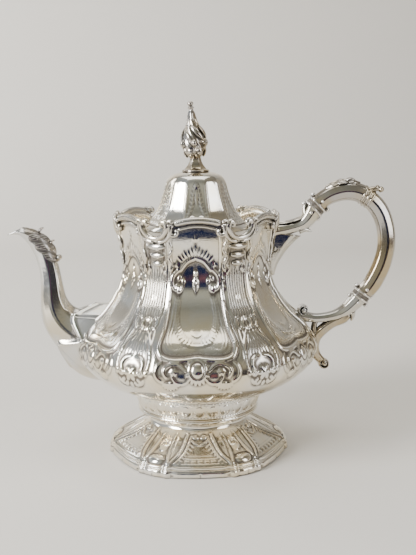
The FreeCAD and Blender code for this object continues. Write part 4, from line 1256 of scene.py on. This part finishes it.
fade = np.sin(np.pi * np.clip(t + 0.08, 0, 1)) ** 0.4
radius = 1.11 + (0.045 * veins * np.abs(v) ** 0.4 + 0.26 * rib) * fade
radius = radius + 0.07 * np.clip(np.abs(v) - 0.80, 0, 1) / 0.20
top = middle + reach * (radius * np.cos(turn))[..., None] + breadth * (radius * np.sin(turn))[..., None]
under = middle + reach * (0.97 * np.cos(turn))[..., None] + breadth * (0.97 * np.sin(turn))[..., None]
dark = 0.30 + 0.5 * np.clip((0.55 - veins) * 1.5, 0, 1) * np.abs(v) ** 0.3
leaf.grid(np.concatenate([top, under[:, ::-1]], axis=1), wrap=True, caps=True, flip=True,
          recess=np.concatenate([dark, 0 * dark + 0.4], axis=1))
ball(leaf, (-107.4, 0, 156.4), 2.3, (1.0, 1.6, 1.0))
for x, z, reach in ((-112.4, 167.4, 2.0), (-120.4, 177.0, 2.2)):
    bump = smooth([(x - 1.8, 0, z - 1.2), (x + 0.4, 0, z + reach), (x + 2.2, 0, z + reach + 0.4)], 14)
    swell = np.sin(np.linspace(0.5, 2.9, 14))
    tube(leaf, bump, 3.0 * swell, 1.2 * swell, up=(0.6, 0, 0.6), sides=14)
leaf.build("spout_acanthus", "pot", "cast_silver", AGED, ("spout_leaf",))

ROOT = (
    (-56.0, 114.0, -76.0, 58.0, 20.0), (-74.6, 117.6, -96.0, 65.4, 19.0), (-86.0, 116.6, -105.0, 75.2, 16.4),
    (-93.4, 116.0, -110.6, 83.0, 14.2), (-97.6, 117.6, -114.6, 89.6, 12.9),
)
grid = sections_grid(ROOT, 90, facet_profile(8, 30, 0.08))
middle = grid.mean(axis=1, keepdims=True)
turns = np.linspace(0, 2 * math.pi, grid.shape[1], endpoint=False)[None]
t = np.linspace(0, 1, 90)[:, None]
wave = np.abs(np.sin(2 * turns))
edge = 0.66 + 0.32 * wave
veins = np.abs(np.sin(4 * turns + 0 * t)) ** 0.5
fade = np.clip((edge - t) / 0.10, 0, 1)
rolled = np.clip(1 - np.abs(t - edge + 0.09) / 0.09, 0, 1)
swell = 1.0 + (0.008 + 0.045 * rolled + 0.018 * veins) * fade - 0.10 * (1 - fade)
dark = np.clip((0.35 - veins) * 1.4, 0, 1) * fade + 0.95 * ((t > edge - 0.03) & (t < edge + 0.1))
root = Shape()
root.grid(outside_body(middle + (grid - middle) * swell[..., None]), wrap=True, flip=True, recess=dark)
root.build("spout_sleeve", "pot", "cast_silver", WORN, ("spout_root_leaf",))

# ------------------------------------------------------------------------------------------------ handle
handle = Shape()
sweep(handle, GRIP, 180)
handle.build("grip_bar", "pot", "silver", AGED, ("handle_grip",))


def flat_roll(shape, x, z, radius, half, turns, start, sense, thick):
    """A rolled strap end seen from the side: a spiral as wide as the strap, with a bead for an eye."""
    count = 60
    t = np.linspace(0, 1, count)
    reach = radius * (1 - 0.78 * t)
    turn = start + sense * 2 * math.pi * turns * t
    path = np.stack([x + reach * np.cos(turn), 0 * t, z + reach * np.sin(turn)], axis=-1)
    away = path - (x, 0, z) + (1e-6, 0, 0)
    tube(shape, path, half * (1 - 0.1 * t), thick * (1 - 0.4 * t), up=away)
    for side in (-1, 1):
        ball(shape, (x, side * half * 0.95, z), radius * 0.42, (1, 0.6, 1))


collar_band = Shape()
for share, size, half in ((0.305, 1.2, 0.8), (0.33, 2.0, 1.3), (0.355, 1.2, 0.8)):
    ringed = sections_grid(GRIP, 400, OCTAGON, -size * 0.55)
    k = int(share * 399)
    near = ringed[k - 4:k + 5]
    bulge = np.sin(np.linspace(0, math.pi, 9)) ** 0.5
    core = sections_grid(GRIP, 400, OCTAGON, 0.3)[k - 4:k + 5]
    collar_band.grid(core + (near - core) * bulge[:, None, None], wrap=True, flip=True, caps=True)
leaf_path = smooth([(101.0, 0, 207.2), (107.0, 0, 210.6), (113.6, 0, 212.6), (120.4, 0, 212.4),
                    (127.4, 0, 210.2)], 70)
t = np.linspace(0, 1, 70)
normal = np.stack([-np.gradient(leaf_path[:, 2]), 0 * t, np.gradient(leaf_path[:, 0])], axis=-1)
normal /= np.linalg.norm(normal, axis=1, keepdims=True)
acanthus(collar_band, leaf_path, 1.4 + 4.6 * np.sin(np.pi * (0.1 + 0.8 * t)), 2.2, 3, normal)
for x, z, length, size in ((103.6, 208.6, 8.0, 2.3), (109.4, 211.2, 8.4, 2.5), (116.6, 212.4, 8.0, 2.2)):
    crest = smooth([(x - 1.0, 0, z), (x + length * 0.3, 0, z + 2.3), (x + length * 0.7, 0, z + 2.0),
                    (x + length, 0, z + 0.6)], 20)
    width = 3.0 * np.sin(np.linspace(0.4, 2.9, 20))
    depth = size * np.sin(np.linspace(0.5, 2.9, 20)) * 0.6
    tube(collar_band, crest, width, depth, up=(0, 0, 1), sides=14)
collar_band.build("grip_acanthus", "pot", "cast_silver", AGED, ("grip_leaf",))

horn = Shape()
path = smooth([(132.6, 0, 204.4), (137.6, 0, 206.6), (141.4, 0, 206.8), (144.0, 0, 206.4)], 30)
tube(horn, path, np.linspace(3.6, 1.5, 30), np.linspace(3.2, 1.2, 30), up=(0, 0, 1), sides=16)
ball(horn, (144.3, 0, 206.4), 2.35, (1, 1.25, 1))
flat_roll(horn, 141.6, 208.0, 1.6, 1.6, 1.2, math.pi, -1, 0.6)
horn.build("grip_knob", "pot", "cast_silver", AGED, ("grip_curl",))

upper = Shape()
sweep(upper, UPPER_ARM, 90)
crest = smooth([(86.0, 0, 184.0), (84.6, 0, 189.6), (84.4, 0, 194.2), (86.4, 0, 198.0)], 30)
tube(upper, crest, np.linspace(5.0, 0.8, 30), np.linspace(2.6, 0.6, 30), up=(1, 0, 0.2), sides=16)
cusp = smooth([(80.6, 0, 175.4), (86.0, 0, 175.8), (90.2, 0, 174.2)], 20)
tube(upper, cusp, np.linspace(5.0, 1.8, 20), np.linspace(3.4, 0.7, 20), up=(0, 0, 1), sides=16)
leafline = smooth([(92.0, 0, 191.6), (86.4, 0, 187.4), (80.0, 0, 184.6), (72.0, 0, 182.2),
                   (64.0, 0, 181.0)], 60)
t = np.linspace(0, 1, 60)
acanthus(upper, leafline, 1.6 + 3.6 * np.sin(np.pi * (0.1 + 0.82 * t)), 1.0, 3, (0.25, 0, 1))
upper.build("upper_bracket", "pot", "cast_silver", WORN, ("upper_socket",))

tail = Shape()
sweep(tail, UPPER_TAIL, 60, STRAP)
flat_roll(tail, 60.6, 176.0, 3.4, 5.6, 1.4, 0.0, 1, 1.1)
flat_roll(tail, 60.8, 161.0, 3.0, 5.2, 1.3, 0.0, -1, 1.0)
tail.build("upper_scrollwork", "pot", "cast_silver", WORN, ("upper_scroll",))

lower = Shape()
sweep(lower, LOWER_ARM, 110)
flat_roll(lower, 84.6, 112.0, 4.2, 5.4, 1.6, -math.pi / 2, -1, 1.1)
cusp = smooth([(123.4, 0, 109.0), (124.0, 0, 105.4), (123.0, 0, 102.0)], 24)
tube(lower, cusp, np.linspace(4.6, 1.6, 24), np.linspace(3.0, 0.7, 24), up=(1, 0, 0.2), sides=16)
lower.build("lower_bracket", "pot", "cast_silver", WORN, ("lower_socket",))

brace = Shape()
sweep(brace, BRACE, 120, STRAP)
flat_roll(brace, 101.8, 67.6, 4.3, 4.6, 1.6, math.pi * 0.8, 1, 1.1)
web = smooth([(94.0, 0, 92.0), (93.4, 0, 98.6), (95.6, 0, 104.0)], 24)
tube(brace, web, np.linspace(3.4, 3.0, 24), np.linspace(2.6, 2.0, 24), up=(1, 0, 0.1), sides=14)
brace.build("lower_scrollwork", "pot", "cast_silver", AGED, ("lower_brace",))

JOINT_BREADTH = 6.4           # half the breadth of the washers, in millimetres


def joint(name, centre, angle, half, node, pins_node):
    """An insulating washer between two reeded silver collars, with pin heads on the sockets."""
    turn = math.radians(angle)
    ahead = np.array([math.cos(turn), 0, math.sin(turn)])
    across = np.array([-math.sin(turn), 0, math.cos(turn)])

    def rings(profile):
        return np.array([
            centre + ahead * offset + OCTAGON[:, :1] * across * (half + grow)
            + np.array([0, 1, 0]) * OCTAGON[:, 1:] * (JOINT_BREADTH + grow)
            for offset, grow in profile])

    washer = Shape()
    washer.grid(rings([(-1.4, 0.0), (-0.9, 0.25), (0.0, 0.3), (0.9, 0.25), (1.4, 0.0)]), wrap=True, caps=True)
    washer.build(name + "_washer", "pot", "ivory", IVORY, (node,))
    collars = Shape()
    dark = np.tile(np.abs(np.linspace(-1, 1, 11))[:, None] ** 4, (1, len(OCTAGON)))
    for middle in (-2.3, 2.3):
        reed = [(middle + 1.1 * math.cos(a), -0.2 + 1.7 * math.sin(a)) for a in np.linspace(0, math.pi, 11)]
        collars.grid(rings(reed[::-1]), wrap=True, recess=dark)
    for along_side in (-1, 1):
        for side in (-1, 1):
            ball(collars, centre + ahead * 6.2 * along_side + (0, side * 6.6, 0), 1.3, (1, 0.8, 1))
            ball(collars, centre + ahead * 5.0 * along_side + across * side * (half + 0.9), 1.7)
    collars.build(name + "_collars", "pot", "pin_metal", PINS, (pins_node,))


joint("upper_joint", np.array([93.3, 0, 193.6]), 43.9, 7.4, "upper_insulator", "upper_pins")
joint("lower_joint", np.array([130.6, 0, 122.7]), 236.4, 6.8, "lower_insulator", "lower_pins")

# ---------------------------------------------------------------------------------- what stays from CAD
KEPT = {
    "body_floor": DULL, "lid_seat": DULL, "hinge_pot_leaf": DULL, "hinge_lid_leaf": DULL, "lid_bezel": DULL,
    "hinge_pin": PINS, "finial_stud": PINS, "finial_nut": PINS, "finial_washer": PINS,
}
for name, material in KEPT.items():
    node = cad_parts[name]
    if not node.material_slots:
        node.data.materials.append(material)
    for place in node.material_slots:
        place.material = material


# ------------------------------------------------------------------------------------------------- stage
# The backdrop in metres: a floor that bends up into a wall.
FLOOR_FRONT, FLOOR_BACK, BEND_RADIUS, WALL_TOP, HALF_WIDTH = -0.50, 1.1, 0.5, 2.4, 2.2
bend = [(FLOOR_FRONT, 0.0), (FLOOR_BACK, 0.0)]
bend += [(FLOOR_BACK + BEND_RADIUS * math.sin(a), BEND_RADIUS - BEND_RADIUS * math.cos(a))
         for a in np.linspace(0.1, math.pi / 2, 14)]
bend += [(FLOOR_BACK + BEND_RADIUS, WALL_TOP)]
corners = [(x, y, z) for y, z in bend for x in (-HALF_WIDTH, HALF_WIDTH)]
sheet = bpy.data.meshes.new("backdrop")
sheet.from_pydata(corners, [], [(2 * i, 2 * i + 1, 2 * i + 3, 2 * i + 2) for i in range(len(bend) - 1)])
sheet.materials.append(paper("backdrop_paper", (0.80, 0.765, 0.705), 0.95))
sheet.shade_smooth()
backdrop = bpy.data.objects.new("backdrop", sheet)
bpy.context.scene.collection.objects.link(backdrop)


def lamp(name, place, aim, width, height, power, colour=(1.0, 1.0, 1.0)):
    """A soft box at a place, turned to face its aim; metres and watts."""
    light = bpy.data.lights.new(name, "AREA")
    light.shape = "RECTANGLE"
    light.size = width
    light.size_y = height
    light.energy = power
    light.color = colour
    thing = bpy.data.objects.new(name, light)
    thing.location = place
    thing.rotation_euler = (Vector(aim) - Vector(place)).to_track_quat("-Z", "Y").to_euler()
    bpy.context.scene.collection.objects.link(thing)


MIDDLE = (0.0, 0.0, 0.13)
lamp("key_left", (-1.3, -0.8, 0.75), MIDDLE, 0.5, 0.9, 46.0, (0.99, 0.99, 1.0))
lamp("fill_right", (1.2, -0.7, 0.6), MIDDLE, 0.5, 1.1, 8.0, (0.95, 0.97, 1.0))
lamp("top", (0.0, 0.1, 1.5), MIDDLE, 1.2, 1.0, 9.0, (1.0, 0.98, 0.94))
lamp("back_left", (-1.1, 0.7, 0.9), (-0.4, 1.6, 0.5), 0.5, 0.9, 12.0)    # lights the backdrop

world = bpy.data.worlds.new("room")
bpy.context.scene.world = world
world.use_nodes = True
sky = Recipe(world.node_tree)
toward = sky.node("ShaderNodeTexCoord").outputs["Generated"]
parts = sky.node("ShaderNodeSeparateXYZ")
sky.put(toward, parts.inputs["Vector"])


def patched(room, direction, near, far, colour):
    """The room with a patch of colour round a direction: near and far are cosines, full and faded out."""
    along = sky.node("ShaderNodeVectorMath", operation="DOT_PRODUCT")
    sky.put(toward, along.inputs[0])
    sky.put(Vector(direction).normalized(), along.inputs[1])
    return sky.mixed(sky.spread(along.outputs["Value"], far, near), room, colour)


LEFT_TO_RIGHT = (
    (0.0, (0.84, 0.91, 1.0)), (0.30, (0.82, 0.84, 0.82)), (0.50, (0.66, 0.66, 0.56)),
    (0.70, (0.52, 0.49, 0.41)), (1.0, (0.62, 0.55, 0.46)),
)
DOWN_TO_UP = (
    (0.0, (0.4, 0.4, 0.4)), (0.46, (0.4, 0.4, 0.4)), (0.54, (0.85, 0.85, 0.85)), (0.72, (0.98, 0.98, 0.96)),
    (0.86, (0.50, 0.51, 0.52)), (1.0, (1.0, 1.0, 1.0)),
)
DIM_FRONT = ((0.40, -0.90, -0.20), 0.95, 0.84, (0.085, 0.080, 0.090))
BLUE_FRONT = ((0.05, -0.99, -0.04), 0.965, 0.925, (0.022, 0.034, 0.105))
ROSE_SPOT = ((0.12, -0.98, 0.02), 0.9975, 0.990, (0.34, 0.15, 0.17))
BROWN_RIGHT = ((0.86, -0.40, 0.10), 0.965, 0.90, (0.19, 0.135, 0.10))
ROOM_STRENGTH = 0.72

across_room = sky.tones(sky.spread(parts.outputs["X"], -1.0, 1.0), LEFT_TO_RIGHT)
up_room = sky.tones(sky.spread(parts.outputs["Z"], -1.0, 1.0), DOWN_TO_UP)
room = sky.mixed(1.0, across_room, up_room, "MULTIPLY")
for dim in (DIM_FRONT, BLUE_FRONT, ROSE_SPOT, BROWN_RIGHT):
    room = patched(room, *dim)
background = sky.nodes["Background"]
sky.put(room, background.inputs["Color"])
sky.put(ROOM_STRENGTH, background.inputs["Strength"])

# The camera that the photo's foot, rim and centre plane give: metres, and angles in radians.
EYE = (-0.0094, -0.6413, 0.2529)
AZIMUTH, PITCH, ROLL = 0.0284, 0.1763, 0.009
camera = bpy.data.cameras.new("camera")
camera.lens = 53.56
camera.sensor_width = 36.0
viewer = bpy.data.objects.new("camera", camera)
bpy.context.scene.collection.objects.link(viewer)
level = math.cos(PITCH)
ahead = Vector((math.sin(AZIMUTH) * level, math.cos(AZIMUTH) * level, -math.sin(PITCH)))
facing = ahead.to_track_quat("-Z", "Y").to_matrix() @ Matrix.Rotation(-ROLL, 3, "Z")
viewer.matrix_world = Matrix.Translation(EYE) @ facing.to_4x4()
bpy.context.scene.camera = viewer
